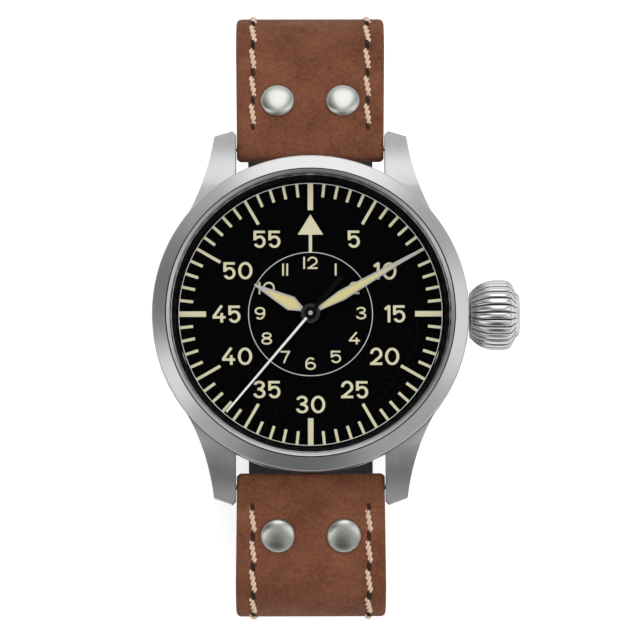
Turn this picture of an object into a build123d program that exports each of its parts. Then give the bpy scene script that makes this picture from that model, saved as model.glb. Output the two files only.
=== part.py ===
from build123d import *
import os
from math import atan2, cos, degrees, hypot, pi, radians, sin, sqrt

# A pilot watch on its closed riveted strap, millimetres, dial facing +Z, 12 o'clock along +Y,
# the crown along +X. The origin is on the axis of the hands at the outer face of the case back.

os.makedirs("parts", exist_ok=True)

# Driving dimensions
case_diameter = 42.0
lug_gap = 20.0
lug_reach = 4.1
bar_offset = 1.8
bar_height = 2.9
case_bottom_z = 0.9
case_top_z = 7.6
dial_thickness = 0.4
stem_z = 5.4
running_gap = 0.05
seat_gap = 0.02
cut_overrun = 1.0
peg_sides = 10
plate_sides = 48

case_r = case_diameter / 2
lug_to_lug = case_diameter + lug_reach * 2
bar_distance = case_r + bar_offset
dial_face_z = case_top_z
dial_back_z = dial_face_z - dial_thickness


def disc(radius, z0, z1, at=(0, 0)):
    """A cylinder from z0 up to z1."""
    lift = (Align.CENTER, Align.CENTER, Align.MIN)
    return Pos(at[0], at[1], z0) * Cylinder(radius, z1 - z0, align=lift)


def ring(outer, inner, z0, z1, at=(0, 0)):
    """A washer or tube from z0 up to z1."""
    return disc(outer, z0, z1, at) - disc(inner, z0, z1, at)


def block(x0, x1, y0, y1, z0, z1):
    """A box between two corners."""
    low = (Align.MIN, Align.MIN, Align.MIN)
    return Pos(x0, y0, z0) * Box(x1 - x0, y1 - y0, z1 - z0, align=low)


def rod(radius, x0, x1, y, z):
    """A cylinder along X."""
    lift = (Align.CENTER, Align.CENTER, Align.MIN)
    return Pos(x0, y, z) * Rot(0, 90, 0) * Cylinder(radius, x1 - x0, align=lift)


def peg(radius, z0, z1, at=(0, 0)):
    """A small pin, post or bore drawn with few sides."""
    return Pos(at[0], at[1], z0) * extrude(RegularPolygon(radius, peg_sides), z1 - z0)


def bore(radius, z0, z1, at=(0, 0)):
    """A hole drawn with few sides whose flats stand at the radius, for what turns in it."""
    outline = RegularPolygon(radius, peg_sides, major_radius=False)
    return Pos(at[0], at[1], z0) * extrude(outline, z1 - z0)


def peg_rod(radius, x0, x1, y, z):
    """A small pin or bore along X, drawn with few sides."""
    return Pos(x0, y, z) * Rot(0, 90, 0) * peg(radius, 0, x1 - x0)


def turned(points):
    """A solid turned about the Z axis from an outline of (radius, height) points."""
    return revolve(make_face(Plane.XZ * Polyline(*points, close=True)), Axis.Z)


def plate(points, z0, z1):
    """A flat plate from an outline in plan."""
    return Pos(0, 0, z0) * extrude(make_face(Polyline(*points, close=True)), z1 - z0)


def polar(radius, angle, at=(0, 0)):
    """The point at a radius and an angle in degrees about a centre."""
    return (at[0] + radius * cos(radians(angle)), at[1] + radius * sin(radians(angle)))


def save(name, *solids):
    """Write one node, one or several separate solids."""
    shape = solids[0] if len(solids) == 1 else Compound(children=list(solids))
    export_step(shape, f"parts/{name}.step")


# Case middle: the band with its four curved lugs, bored for the movement from above
case_wall = 3.2
case_taper_z = 4.3
case_foot_inset = 1.8
lug_width = 2.9
lug_waist_width = 4.2
lug_waist_rise = 6.9
lug_tip_drop = 0.85
lug_inner_chamfer = 0.5
lug_root_inset = 0.088
lug_root_angle = 33.69
lug_top_inset = 7.5
lug_top_mid_z = 6.45
lug_under_z = 2.4
lug_top_tip_z = 3.5
lug_under_mid_z = 1.05
lug_under_tip_z = 0.7
pin_hole_r = 0.45
pin_hole_depth = 1.3
loop_r = 2.1
tube_r = 1.35
plate_z = 5.7
case_bore_r = case_r - case_wall
case_foot_r = case_r - case_foot_inset
plate_r = case_bore_r - running_gap
lug_tip_half = lug_gap / 2 + lug_width
lug_waist = (lug_gap / 2 + lug_waist_width, lug_to_lug / 2 - lug_waist_rise)
lug_root = polar(case_r - lug_root_inset, lug_root_angle)
lug_top_start = case_r - lug_top_inset
lug_top_mid = (case_r, lug_top_mid_z)
lug_under_mid = (case_r, lug_under_mid_z)


def case_middle():
    half_gap = lug_gap / 2
    tip_y = lug_to_lug / 2
    under_z = lug_under_z
    plan = [
        Line((0, 0), (0, lug_root[1])),
        Line((0, lug_root[1]), (half_gap, lug_root[1])),
        Line((half_gap, lug_root[1]), (half_gap, tip_y - lug_inner_chamfer)),
        Line((half_gap, tip_y - lug_inner_chamfer), (half_gap + lug_inner_chamfer, tip_y)),
        Line((half_gap + lug_inner_chamfer, tip_y), (lug_tip_half, tip_y - lug_tip_drop)),
        ThreePointArc((lug_tip_half, tip_y - lug_tip_drop), lug_waist, lug_root),
        Line(lug_root, (case_bore_r, 0)),
        Line((case_bore_r, 0), (0, 0)),
    ]
    side = [
        Line((0, under_z), (0, case_top_z)),
        Line((0, case_top_z), (lug_top_start, case_top_z)),
        ThreePointArc((lug_top_start, case_top_z), lug_top_mid, (tip_y, lug_top_tip_z)),
        Line((tip_y, lug_top_tip_z), (tip_y, lug_under_tip_z)),
        ThreePointArc((tip_y, lug_under_tip_z), lug_under_mid, (lug_root[1], under_z)),
        Line((lug_root[1], under_z), (0, under_z)),
    ]
    tall = extrude(make_face(plan), case_top_z)
    lug = tall & extrude(Plane.YZ * make_face(side), case_r)
    body = turned([
        (0, case_bottom_z), (case_foot_r, case_bottom_z), (case_r, case_taper_z),
        (case_r, case_top_z), (0, case_top_z),
    ])
    for turn_x, turn_y in ((0, 0), (0, 1), (1, 0), (1, 1)):
        copy = mirror(lug, Plane.YZ) if turn_x else lug
        body += mirror(copy, Plane.XZ) if turn_y else copy
    body -= disc(case_bore_r, 0, case_top_z)
    reach = half_gap + pin_hole_depth
    for side_y in (1, -1):
        body -= peg_rod(pin_hole_r, -reach, reach, side_y * bar_distance, bar_height)
    return body - peg_rod(tube_r, 0, case_r + cut_overrun, 0, stem_z)


# Bezel: a broad ring, its top falling outwards from a polished inner bevel
bezel_wall_z = 9.7
bezel_top_z = 10.55
bezel_width = 2.4
bezel_bore_r = case_r - bezel_width
bezel_inner_bevel = 0.4
bezel_bevel_drop = 0.25


def bezel():
    return turned([
        (bezel_bore_r, case_top_z), (case_r, case_top_z), (case_r, bezel_wall_z),
        (bezel_bore_r + bezel_inner_bevel, bezel_top_z), (bezel_bore_r, bezel_top_z - bezel_bevel_drop),
    ])


# Crystal and the rehaut ring under it
crystal_bottom_z = 9.3
crystal_top_z = 10.75
rehaut_foot_r = plate_r


def crystal():
    return disc(bezel_bore_r - running_gap, crystal_bottom_z, crystal_top_z)


def rehaut_ring():
    outer = bezel_bore_r - running_gap
    return turned([(rehaut_foot_r, dial_face_z), (outer, dial_face_z), (outer, crystal_bottom_z)])


# Case back: screwed into the bore from below, with six wrench notches
back_top_z = 2.0
notch_count = 6
notch_width = 2.4
notch_depth = 1.3
notch_height = 0.5


def case_back():
    edge = case_bore_r - running_gap
    shape = disc(edge, 0, back_top_z)
    for index in range(notch_count):
        notch = block(edge - notch_depth, edge + cut_overrun, -notch_width / 2, notch_width / 2,
                      0, notch_height)
        shape -= Rot(0, 0, index * 360 / notch_count) * notch
    return shape


# Crown: an onion of ribs round the stem tube, with its gasket
crown_gap = 0.35
crown_length = 6.65
crown_start_x = case_r + crown_gap
crown_end_x = crown_start_x + crown_length
crown_base_r = 3.1
crown_max_r = 4.65
crown_cap_r = 2.9
crown_cap_height = 0.45
rib_count = 28
groove_depth = 0.55
groove_width = 0.22
groove_start_r = 2.3
crown_station_shares = (0.0, 0.34, 0.78, 1.0)
crown_swell_shares = (0.0, 0.85, 1.0, 0.12)
crown_bore_r = 1.75
crown_bore_depth = 4.6
tube_bore_r = 0.7
tube_reach = 3.4
crown_ring_r = 1.7
crown_ring_width = 0.5
stem_r = 0.6


def axial(shape):
    """Turn a shape modelled about Z so that it lies about the stem, its base at x = 0."""
    return Pos(0, 0, stem_z) * Rot(0, 90, 0) * shape


def onion(inset):
    """The swelling outline of the crown in straight bands of flat faces, drawn in by the inset."""
    span = crown_end_x - crown_cap_height - crown_start_x
    rise = crown_max_r - crown_base_r
    shape = Part()
    stations = list(zip(crown_station_shares, crown_swell_shares))
    for (start, swell), (end, next_swell) in zip(stations, stations[1:]):
        length = (end - start) * span
        outline = RegularPolygon(crown_base_r + swell * rise - inset, rib_count, major_radius=False)
        lean = degrees(atan2((swell - next_swell) * rise, length))
        shape += Pos(0, 0, crown_start_x + start * span) * extrude(outline, length, taper=lean)
    return shape


def crown():
    groove = block(groove_start_r, crown_max_r + cut_overrun, -groove_width / 2, groove_width / 2,
                   crown_start_x - cut_overrun, crown_end_x)
    pitch = 360 / rib_count
    body = onion(0) - [Rot(0, 0, index * pitch) * groove for index in range(rib_count)]
    body += onion(groove_depth)
    cap = extrude(RegularPolygon(crown_cap_r, rib_count), crown_cap_height)
    body += Pos(0, 0, crown_end_x - crown_cap_height) * cap
    return axial(body - bore(crown_bore_r, crown_start_x, crown_start_x + crown_bore_depth))


def crown_tube():
    outer = peg_rod(tube_r - seat_gap, case_bore_r, case_r + tube_reach, 0, stem_z)
    return outer - peg_rod(tube_bore_r, case_bore_r, case_r + tube_reach, 0, stem_z)


def crown_gasket():
    start = crown_start_x + crown_bore_depth - tube_reach
    outer = peg_rod(crown_ring_r, start, start + crown_ring_width, 0, stem_z)
    return outer - peg_rod(tube_r / cos(pi / peg_sides), start, start + crown_ring_width, 0, stem_z)


# Dial and its raised lume: twelve five-minute bars and the triangle at 12
dial_hole_r = 1.1
lume_height = 0.12
bar_ring_inset = 0.35
bar_ring_r = plate_r - bar_ring_inset
bar_length = 3.6
bar_width = 0.42
quarter_width = 0.76
quarter_every = 3
triangle_base_y = 10.55
triangle_height = 2.7
triangle_width = 3.4


def dial():
    blank = extrude(RegularPolygon(plate_r, plate_sides), dial_thickness)
    return Pos(0, 0, dial_back_z) * blank - peg(dial_hole_r, dial_back_z, dial_face_z)


def dial_markers():
    top = dial_face_z + lume_height
    pieces = []
    for index in range(12):
        width = bar_width if index % quarter_every else quarter_width
        bar = block(bar_ring_r - bar_length, bar_ring_r, -width / 2, width / 2, dial_face_z, top)
        if index:
            pieces.append(Rot(0, 0, 90 - index * 30) * bar)
    peak = triangle_base_y + triangle_height
    half = triangle_width / 2
    shape = plate([(-half, triangle_base_y), (half, triangle_base_y), (0, peak)], dial_face_z, top)
    first = block(-quarter_width / 2, quarter_width / 2, bar_ring_r - bar_length, bar_ring_r,
                  dial_face_z, top)
    return pieces + [first, shape]


# Hands: two swords with lume channels and a needle for the seconds, posed at ten to two
hand_thickness = 0.16
hour_hand_z = 8.02
minute_hand_z = 8.42
seconds_hand_z = 8.8
hour_turn = -297.5
minute_turn = -60.0
seconds_turn = -220.35
hour_length = 8.4
hour_waist = 1.3
hour_waist_half = 0.32
hour_shoulder = 2.9
hour_shoulder_half = 1.0
hour_tip_half = 0.12
minute_length = 17.4
minute_waist = 1.2
minute_waist_half = 0.3
minute_shoulder = 4.8
minute_shoulder_half = 0.72
minute_tip_half = 0.08
hand_rim = 0.2
lume_tip_share = 1.2
lume_waist_share = 0.6
hour_boss_r = 1.25
minute_boss_r = 1.0
seconds_length = 17.2
needle_half = 0.15
needle_tip_half = 0.08
tail_length = 6.35
tail_half = 0.45
seconds_boss_r = 1.3
seconds_cap_r = 0.65
seconds_cap_height = 0.25
seconds_pivot_r = 0.13
cannon_r = 0.55
hour_tube_r = 0.8
hour_tube_bore = 0.6


def sword(length, waist, waist_half, shoulder, shoulder_half, tip_half, rim=0.0):
    """A sword outline along +Y, drawn in by the rim where the lume lies."""
    slope = (shoulder_half - tip_half) / (length - shoulder)
    tip = length - rim / slope * lume_tip_share if rim else length
    tip_width = tip_half if not rim else tip_half / 2
    start = waist + rim * 2
    start_half = waist_half - rim * lume_waist_share
    half = shoulder_half - rim
    return [
        (-start_half, start), (-half, shoulder), (-tip_width, tip),
        (tip_width, tip), (half, shoulder), (start_half, start),
    ]


def hand(outline, boss_r, bore_r, z0, turn, waist_half):
    blade = plate(outline, z0, z0 + hand_thickness)
    first = outline[0][1]
    blade += block(-waist_half, waist_half, 0, first, z0, z0 + hand_thickness)
    blade += disc(boss_r, z0, z0 + hand_thickness)
    return Rot(0, 0, turn) * blade - peg(bore_r, z0, z0 + hand_thickness)


hour_sizes = (hour_length, hour_waist, hour_waist_half, hour_shoulder, hour_shoulder_half, hour_tip_half)
minute_sizes = (minute_length, minute_waist, minute_waist_half, minute_shoulder,
                minute_shoulder_half, minute_tip_half)


def lume(sizes, z0, turn):
    return Rot(0, 0, turn) * plate(sword(*sizes, rim=hand_rim), z0, z0 + hand_thickness)


def hour_hand():
    bore = hour_tube_r + seat_gap
    blade = hand(sword(*hour_sizes), hour_boss_r, bore, hour_hand_z, hour_turn, hour_waist_half)
    return blade - lume(hour_sizes, hour_hand_z, hour_turn)


def minute_hand():
    bore = cannon_r + seat_gap
    blade = hand(sword(*minute_sizes), minute_boss_r, bore, minute_hand_z, minute_turn,
                 minute_waist_half)
    return blade - lume(minute_sizes, minute_hand_z, minute_turn)


def seconds_hand():
    top = seconds_hand_z + hand_thickness
    needle = plate([
        (-needle_half, 0), (-needle_tip_half, seconds_length),
        (needle_tip_half, seconds_length), (needle_half, 0),
    ], seconds_hand_z, top)
    needle += plate([(-needle_half, 0), (needle_half, 0), (tail_half, -tail_length),
                     (-tail_half, -tail_length)], seconds_hand_z, top)
    needle += disc(seconds_boss_r, seconds_hand_z, top)
    needle += peg(seconds_cap_r, seconds_hand_z, top + seconds_cap_height)
    return Rot(0, 0, seconds_turn) * needle - peg(seconds_pivot_r + seat_gap, seconds_hand_z, top)


# Gear teeth: pointed teeth on the wheels, narrow leaves with wide gaps on the pinions
tip_share = 1.0
wheel_root_share = 1.2
leaf_tip_share = 0.85
leaf_root_share = 1.25
leaf_tip_width_share = 0.15
leaf_foot_width_share = 0.5


def wheel(teeth, module, z0, z1, at, phase):
    """A thin wheel with pointed teeth, a tooth standing at the phase angle in degrees."""
    pitch_r = teeth * module / 2
    points = []
    for index in range(teeth):
        angle = phase + index * 360 / teeth
        points.append(polar(pitch_r + tip_share * module, angle, at))
        points.append(polar(pitch_r - wheel_root_share * module, angle + 180 / teeth, at))
    return plate(points, z0, z1)


def pinion(leaves, module, z0, z1, at, phase):
    """A small pinion with flat-topped leaves, one standing at the phase angle in degrees."""
    pitch_r = leaves * module / 2
    tip, foot = pitch_r + leaf_tip_share * module, pitch_r - leaf_root_share * module
    pitch = 360 / leaves
    points = []
    for index in range(leaves):
        angle = phase + index * pitch
        for share, size in ((-leaf_foot_width_share / 2, foot), (-leaf_tip_width_share / 2, tip),
                            (leaf_tip_width_share / 2, tip), (leaf_foot_width_share / 2, foot)):
            points.append(polar(size, angle + share * pitch, at))
    return plate(points, z0, z1)


def heading(start, end):
    """The direction in degrees from one axis to another."""
    return degrees(atan2(end[1] - start[1], end[0] - start[0]))


def meshing_phase(start, start_phase, start_teeth, end, end_teeth):
    """The phase that puts a gap of the second gear round each tooth of the first."""
    line = heading(start, end)
    part = ((line - start_phase) * start_teeth / 360) % 1
    return line + 180 + (part + 0.5) * 360 / end_teeth


# Wheel train: tooth counts, modules and the places that they give
barrel_teeth = 48
centre_leaves = 8
barrel_module = 0.27
centre_teeth = 48
third_leaves = 6
third_teeth = 45
fourth_leaves = 6
fourth_teeth = 48
escape_leaves = 6
train_radius = 4.8
centre_module = 2 * train_radius / (centre_teeth + third_leaves)
third_module = 2 * train_radius / (third_teeth + fourth_leaves)
fourth_module = 0.14
escape_module = fourth_module
barrel_angle = 50.0
third_angle = 225.0
escape_angle = 300.0
centre = (0, 0)
barrel_at = polar((barrel_teeth + centre_leaves) * barrel_module / 2, barrel_angle)
third_at = polar(train_radius, third_angle)
escape_at = polar((fourth_teeth + escape_leaves) * fourth_module / 2, escape_angle)

# Levels of the movement, from the back upwards
bridge_z = 4.1
ratchet_z = 3.7
crown_wheel_thickness = 0.3
drum_bottom_z = 4.5
drum_top_z = 5.2
fourth_wheel_z = 4.2
third_wheel_z = 4.5
centre_pinion_z = 4.8
escape_wheel_z = 4.95
centre_wheel_z = 5.35
wheel_thickness = 0.15
recess_z = 6.3
arbor_r = 0.25
pivot_gap = 0.1
drum_share = 0.93
drum_wall = 0.4
drum_sides = 24
drum_floor = 0.15
barrel_arbor_r = 0.6
rim_share = 0.76
window_root_r = 1.6
window_share = 0.75
spoke_count = 4
centre_tube_r = 0.35
centre_tube_top = 8.0


def spoked(teeth, module, z0, z1, at, phase):
    """A wheel with a straight-sided window between each pair of spokes."""
    rim = teeth * module / 2 * rim_share
    shape = wheel(teeth, module, z0, z1, at, phase)
    for index in range(spoke_count):
        middle = phase + index * 360 / spoke_count
        reach = 180 / spoke_count * window_share
        window = [polar(window_root_r, middle, at), polar(rim, middle - reach, at),
                  polar(rim, middle, at), polar(rim, middle + reach, at)]
        shape -= plate(window, z0, z1)
    return shape


def barrel():
    """The toothed drum, hollow for the mainspring."""
    phase = barrel_angle + 180
    wall_r = barrel_teeth * barrel_module / 2 * drum_share - drum_wall
    body = wheel(barrel_teeth, barrel_module, drum_bottom_z, drum_top_z, barrel_at, phase)
    outline = RegularPolygon(wall_r, drum_sides, major_radius=False)
    hollow = extrude(outline, drum_top_z - drum_bottom_z - drum_floor)
    body -= Pos(barrel_at[0], barrel_at[1], drum_bottom_z + drum_floor) * hollow
    return body - peg(barrel_arbor_r + running_gap, drum_bottom_z, drum_top_z, barrel_at)


arbor_core_r = 1.3
spring_turns = 4
spring_steps = 8
spring_width_share = 0.45
mainspring_margin = 0.1


def spiral_band(inner, outer, turns, steps, thick, z0, z1, at, end_angle=0):
    """A flat spring wound in a spiral of short straight pieces, as one closed band."""
    count = turns * steps
    growth = (outer - inner) / count
    outside, inside = [], []
    for step in range(count + 1):
        angle = end_angle + step * 360 / steps
        outside.append(polar(inner + growth * step + thick / 2, angle, at))
        inside.append(polar(inner + growth * step - thick / 2, angle, at))
    return plate(outside + inside[::-1], z0, z1)


def mainspring():
    drum_r = barrel_teeth * barrel_module / 2 * drum_share
    outer = drum_r - drum_wall - mainspring_margin * 3
    inner = arbor_core_r + mainspring_margin * 3
    pitch = (outer - inner) / spring_turns
    return spiral_band(inner, outer, spring_turns, spring_steps, pitch * spring_width_share,
                       drum_bottom_z + drum_floor, drum_top_z - mainspring_margin, barrel_at)


def barrel_arbor():
    top = plate_z - pivot_gap
    body = peg(barrel_arbor_r, ratchet_z, top, barrel_at)
    return body + peg(arbor_core_r, drum_bottom_z + drum_floor + pivot_gap,
                      drum_top_z - mainspring_margin, barrel_at)


def centre_wheel():
    body = spoked(centre_teeth, centre_module, centre_wheel_z, centre_wheel_z + wheel_thickness,
                  centre, third_angle)
    body += pinion(centre_leaves, barrel_module, centre_pinion_z, centre_wheel_z, centre,
                   meshing_phase(barrel_at, barrel_angle + 180, barrel_teeth, centre, centre_leaves))
    body += peg(centre_tube_r, centre_wheel_z, centre_tube_top)
    return body - peg(seconds_pivot_r + running_gap, centre_pinion_z, centre_tube_top)


def third_wheel():
    """The wheel on a long pinion that also serves as its arbor."""
    body = spoked(third_teeth, third_module, third_wheel_z, third_wheel_z + wheel_thickness,
                  third_at, third_angle + 180)
    phase = meshing_phase(centre, third_angle, centre_teeth, third_at, third_leaves)
    return body + pinion(third_leaves, centre_module, fourth_wheel_z, plate_z - pivot_gap, third_at, phase)


def fourth_wheel():
    body = spoked(fourth_teeth, fourth_module, fourth_wheel_z, fourth_wheel_z + wheel_thickness,
                  centre, escape_angle)
    phase = meshing_phase(third_at, third_angle + 180, third_teeth, centre, fourth_leaves)
    body += pinion(fourth_leaves, third_module, fourth_wheel_z, centre_pinion_z - pivot_gap,
                   centre, phase)
    return body + peg(seconds_pivot_r, fourth_wheel_z, seconds_hand_z + hand_thickness)


# Escapement: fifteen club teeth, a lever with two pallets, and the balance on its spring
escape_tooth_count = 15
escape_r = 2.2
escape_root_r = 1.7
escape_tip_share = 0.3
escape_lean_share = 0.45
pallet_span_angle = 30.0
lever_angle = -35.0
lever_length = 3.5
lever_half = 0.14
pallet_half = 0.13
pallet_clear = 0.03
fork_hub_r = 0.3
fork_gap_half = 0.13
fork_arm = 0.6
balance_r = 4.6
balance_rim = 0.45
rim_sides = 24
balance_z = 4.3
balance_thick = 0.4
staff_r = 0.2
roller_r = 0.45
roller_z = 5.2
roller_thickness = 0.12
fork_reach = 0.88
hairspring_z = 4.0
hairspring_height = 0.14
hairspring_inner = 0.5
hairspring_outer = 2.5
hairspring_turns = 4
hairspring_steps = 8
hairspring_thick = 0.08
cock_angle = -60.0
fork_at = polar(escape_r / cos(radians(pallet_span_angle)), lever_angle, escape_at)
balance_at = polar(lever_length, lever_angle, fork_at)


def escape_wheel():
    points = []
    pitch = 360 / escape_tooth_count
    for index in range(escape_tooth_count):
        angle = lever_angle + (index + 0.5) * pitch
        points.append(polar(escape_root_r, angle, escape_at))
        points.append(polar(escape_r, angle + escape_lean_share * pitch, escape_at))
        points.append(polar(escape_r, angle + (escape_lean_share + escape_tip_share) * pitch, escape_at))
    body = plate(points, escape_wheel_z, escape_wheel_z + wheel_thickness)
    phase = meshing_phase(centre, escape_angle, fourth_teeth, escape_at, escape_leaves)
    return body + pinion(escape_leaves, escape_module, fourth_wheel_z - pivot_gap,
                         centre_wheel_z - pivot_gap, escape_at, phase)


def strut(start, end, half, z0, z1):
    """A straight flat bar between two points in plan."""
    length = hypot(end[0] - start[0], end[1] - start[1])
    bar = block(0, length, -half, half, z0, z1)
    return Pos(start[0], start[1], 0) * Rot(0, 0, heading(start, end)) * bar


def pallet_fork():
    z0, z1 = escape_wheel_z, escape_wheel_z + wheel_thickness
    body = peg(fork_hub_r, z0, z1, fork_at)
    body += peg(arbor_r, z0 - pivot_gap, plate_z - pivot_gap, fork_at)
    stop = polar(lever_length - fork_reach, lever_angle, fork_at)
    body += strut(fork_at, stop, lever_half, z0, z1)
    across = (cos(radians(lever_angle + 90)), sin(radians(lever_angle + 90)))
    for side in (1, -1):
        reach = escape_r + pallet_clear + pallet_half
        pallet = polar(reach, lever_angle + side * pallet_span_angle, escape_at)
        body += strut(fork_at, pallet, pallet_half, z0, z1)
        shift = side * (fork_gap_half + lever_half)
        near = (stop[0] + shift * across[0], stop[1] + shift * across[1])
        far = polar(fork_arm, lever_angle, near)
        body += strut(polar(-lever_half, lever_angle, near), far, lever_half, z0, z1)
    return body


def balance_wheel():
    flat = RegularPolygon(balance_r, rim_sides) - RegularPolygon(balance_r - balance_rim, rim_sides)
    rim = Pos(balance_at[0], balance_at[1], balance_z) * extrude(flat, balance_thick)
    across = polar(balance_r - balance_rim / 2, lever_angle + 90, balance_at)
    back = polar(balance_r - balance_rim / 2, lever_angle - 90, balance_at)
    rim += strut(back, across, balance_rim / 2, balance_z, balance_z + balance_thick / 2)
    rim += peg(staff_r, hairspring_z, plate_z - pivot_gap, balance_at)
    rim += peg(roller_r, roller_z, roller_z + roller_thickness, balance_at)
    return rim


def hairspring():
    return spiral_band(hairspring_inner, hairspring_outer, hairspring_turns, hairspring_steps,
                       hairspring_thick, hairspring_z, hairspring_z + hairspring_height, balance_at,
                       cock_angle)


# Motion work under the dial: cannon pinion, minute wheel, hour wheel and setting wheel
cannon_leaves = 8
minute_teeth = 24
minute_leaves = 6
hour_teeth = 24
motion_radius = 3.2
cannon_module = 2 * motion_radius / (cannon_leaves + minute_teeth)
hour_module = 2 * motion_radius / (minute_leaves + hour_teeth)
minute_wheel_angle = -30.0
minute_at = polar(motion_radius, minute_wheel_angle)
motion_z = 6.38
motion_thickness = 0.22
hour_wheel_z = 6.92
setting_teeth = 20
setting_distance = (minute_teeth + setting_teeth) * cannon_module / 2
setting_at = (minute_at[0] + sqrt(setting_distance**2 - minute_at[1] ** 2), 0)
setting_hub_r = 0.4


def cannon_pinion():
    phase = meshing_phase(minute_at, minute_wheel_angle + 180, minute_teeth, centre, cannon_leaves)
    body = pinion(cannon_leaves, cannon_module, motion_z, hour_wheel_z - pivot_gap, centre, phase)
    body += peg(cannon_r, motion_z, minute_hand_z + hand_thickness)
    return body - peg(centre_tube_r + seat_gap, motion_z, minute_hand_z + hand_thickness)


def minute_wheel():
    phase = minute_wheel_angle + 180
    body = wheel(minute_teeth, cannon_module, motion_z, motion_z + motion_thickness,
                 minute_at, phase)
    leaf_phase = meshing_phase(centre, minute_wheel_angle, hour_teeth, minute_at, minute_leaves)
    return body + pinion(minute_leaves, hour_module, motion_z, dial_back_z - pivot_gap / 2,
                         minute_at, leaf_phase)


def hour_wheel():
    body = wheel(hour_teeth, hour_module, hour_wheel_z, hour_wheel_z + wheel_thickness, centre,
                 minute_wheel_angle)
    body += peg(hour_tube_r, hour_wheel_z, hour_hand_z + hand_thickness)
    return body - peg(hour_tube_bore, hour_wheel_z, hour_hand_z + hand_thickness)


def setting_wheel():
    phase = meshing_phase(minute_at, minute_wheel_angle + 180, minute_teeth, setting_at, setting_teeth)
    body = wheel(setting_teeth, cannon_module, motion_z, motion_z + motion_thickness,
                 setting_at, phase)
    return body - peg(setting_hub_r + running_gap, motion_z, motion_z + motion_thickness,
                      setting_at)


# Winding work on the stem: clutch, winding pinion, crown wheel, ratchet wheel and click
ratchet_teeth = 32
crown_teeth = 20
winding_teeth = 10
crown_wheel_x = 9.6
winding_gap = hypot(barrel_at[0] - crown_wheel_x, barrel_at[1])
winding_module = 2 * winding_gap / (ratchet_teeth + crown_teeth)
crown_wheel_at = (crown_wheel_x, 0)
winding_x0 = 12.35
winding_x1 = 13.1
clutch_x0 = 9.95
clutch_x1 = 11.6
clutch_r = 1.2
clutch_groove_r = 0.95
clutch_groove_x0 = 10.5
clutch_groove_x1 = 11.0
stem_square = 0.84
stem_square_x0 = 9.7
stem_groove_x0 = 14.2
stem_groove_x1 = 14.9
stem_groove_r = 0.35
crown_travel = 0.9
stem_bore_r = 0.66


def winding_stem():
    body = peg_rod(stem_r, clutch_x1 + seat_gap, crown_start_x + crown_bore_depth, 0, stem_z)
    half = stem_square / 2
    body += block(stem_square_x0, clutch_x1 + seat_gap, -half, half, stem_z - half, stem_z + half)
    groove = peg_rod(stem_r, stem_groove_x0, stem_groove_x1, 0, stem_z)
    return body - (groove - peg_rod(stem_groove_r, stem_groove_x0, stem_groove_x1, 0, stem_z))


def winding_pinion():
    # A gap of the pinion faces down, where a tooth of the crown wheel stands.
    body = pinion(winding_teeth, winding_module, winding_x0, winding_x1, centre, 180 / winding_teeth)
    return axial(body - peg(stem_bore_r, winding_x0, winding_x1))


def clutch_pinion():
    body = peg(clutch_r, clutch_x0, clutch_x1)
    body -= peg(clutch_r, clutch_groove_x0, clutch_groove_x1)
    body += peg(clutch_groove_r, clutch_groove_x0, clutch_groove_x1)
    half = stem_square / 2 + seat_gap
    return axial(body - block(-half, half, -half, half, clutch_x0, clutch_x1))


def crown_wheel():
    body = wheel(crown_teeth, winding_module, ratchet_z, ratchet_z + crown_wheel_thickness,
                 crown_wheel_at, 0)
    return body - peg(barrel_arbor_r, ratchet_z, ratchet_z + crown_wheel_thickness, crown_wheel_at)


def ratchet_wheel():
    phase = meshing_phase(crown_wheel_at, 0, crown_teeth, barrel_at, ratchet_teeth)
    body = wheel(ratchet_teeth, winding_module, ratchet_z, ratchet_z + crown_wheel_thickness,
                 barrel_at, phase)
    return body - peg(barrel_arbor_r + seat_gap, ratchet_z, ratchet_z + crown_wheel_thickness,
                      barrel_at)


click_angle = 80.0
click_length = 2.4
click_half = 0.35
click_pivot_r = 0.6
click_lift = 0.12
ratchet_tip_r = ratchet_teeth * winding_module / 2 + tip_share * winding_module
click_tip = polar(ratchet_tip_r + click_lift, click_angle, barrel_at)
click_lean = 70.0
click_at = polar(click_length, click_angle - click_lean, click_tip)


def click():
    z0, z1 = ratchet_z, ratchet_z + crown_wheel_thickness
    body = peg(click_pivot_r, z0, z1, click_at)
    side = heading(click_at, click_tip) + 90
    body += plate([polar(click_half, side, click_at), click_tip, polar(-click_half, side, click_at)],
                  z0, z1)
    return body - peg(arbor_r + running_gap, z0, z1, click_at)


lever_pivot = (14.75, 3.2)
lever_pivot_r = 0.7
lever_arm_half = 0.4
lever_thickness = 0.25
lever_pin_r = 0.22
yoke_pivot = (12.2, 5.6)
yoke_tip_half = 0.2


def setting_lever():
    z0, z1 = motion_z, motion_z + lever_thickness
    pin_at = ((stem_groove_x0 + stem_groove_x1) / 2, 0)
    body = peg(lever_pivot_r, z0, z1, lever_pivot)
    body += strut(lever_pivot, pin_at, lever_arm_half, z0, z1)
    return body + peg(lever_pin_r, stem_z + stem_groove_r + running_gap, z1, pin_at)


def yoke():
    z0, z1 = motion_z, motion_z + lever_thickness
    middle = ((clutch_groove_x0 + clutch_groove_x1) / 2, clutch_r + yoke_tip_half)
    body = peg(lever_pivot_r, z0, z1, yoke_pivot)
    body += strut(yoke_pivot, middle, lever_arm_half / 2, z0, z1)
    reach = clutch_groove_r + running_gap * 2
    finger = block(middle[0] - yoke_tip_half, middle[0] + yoke_tip_half, reach, middle[1],
                   stem_z, z1)
    return body + finger


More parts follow.
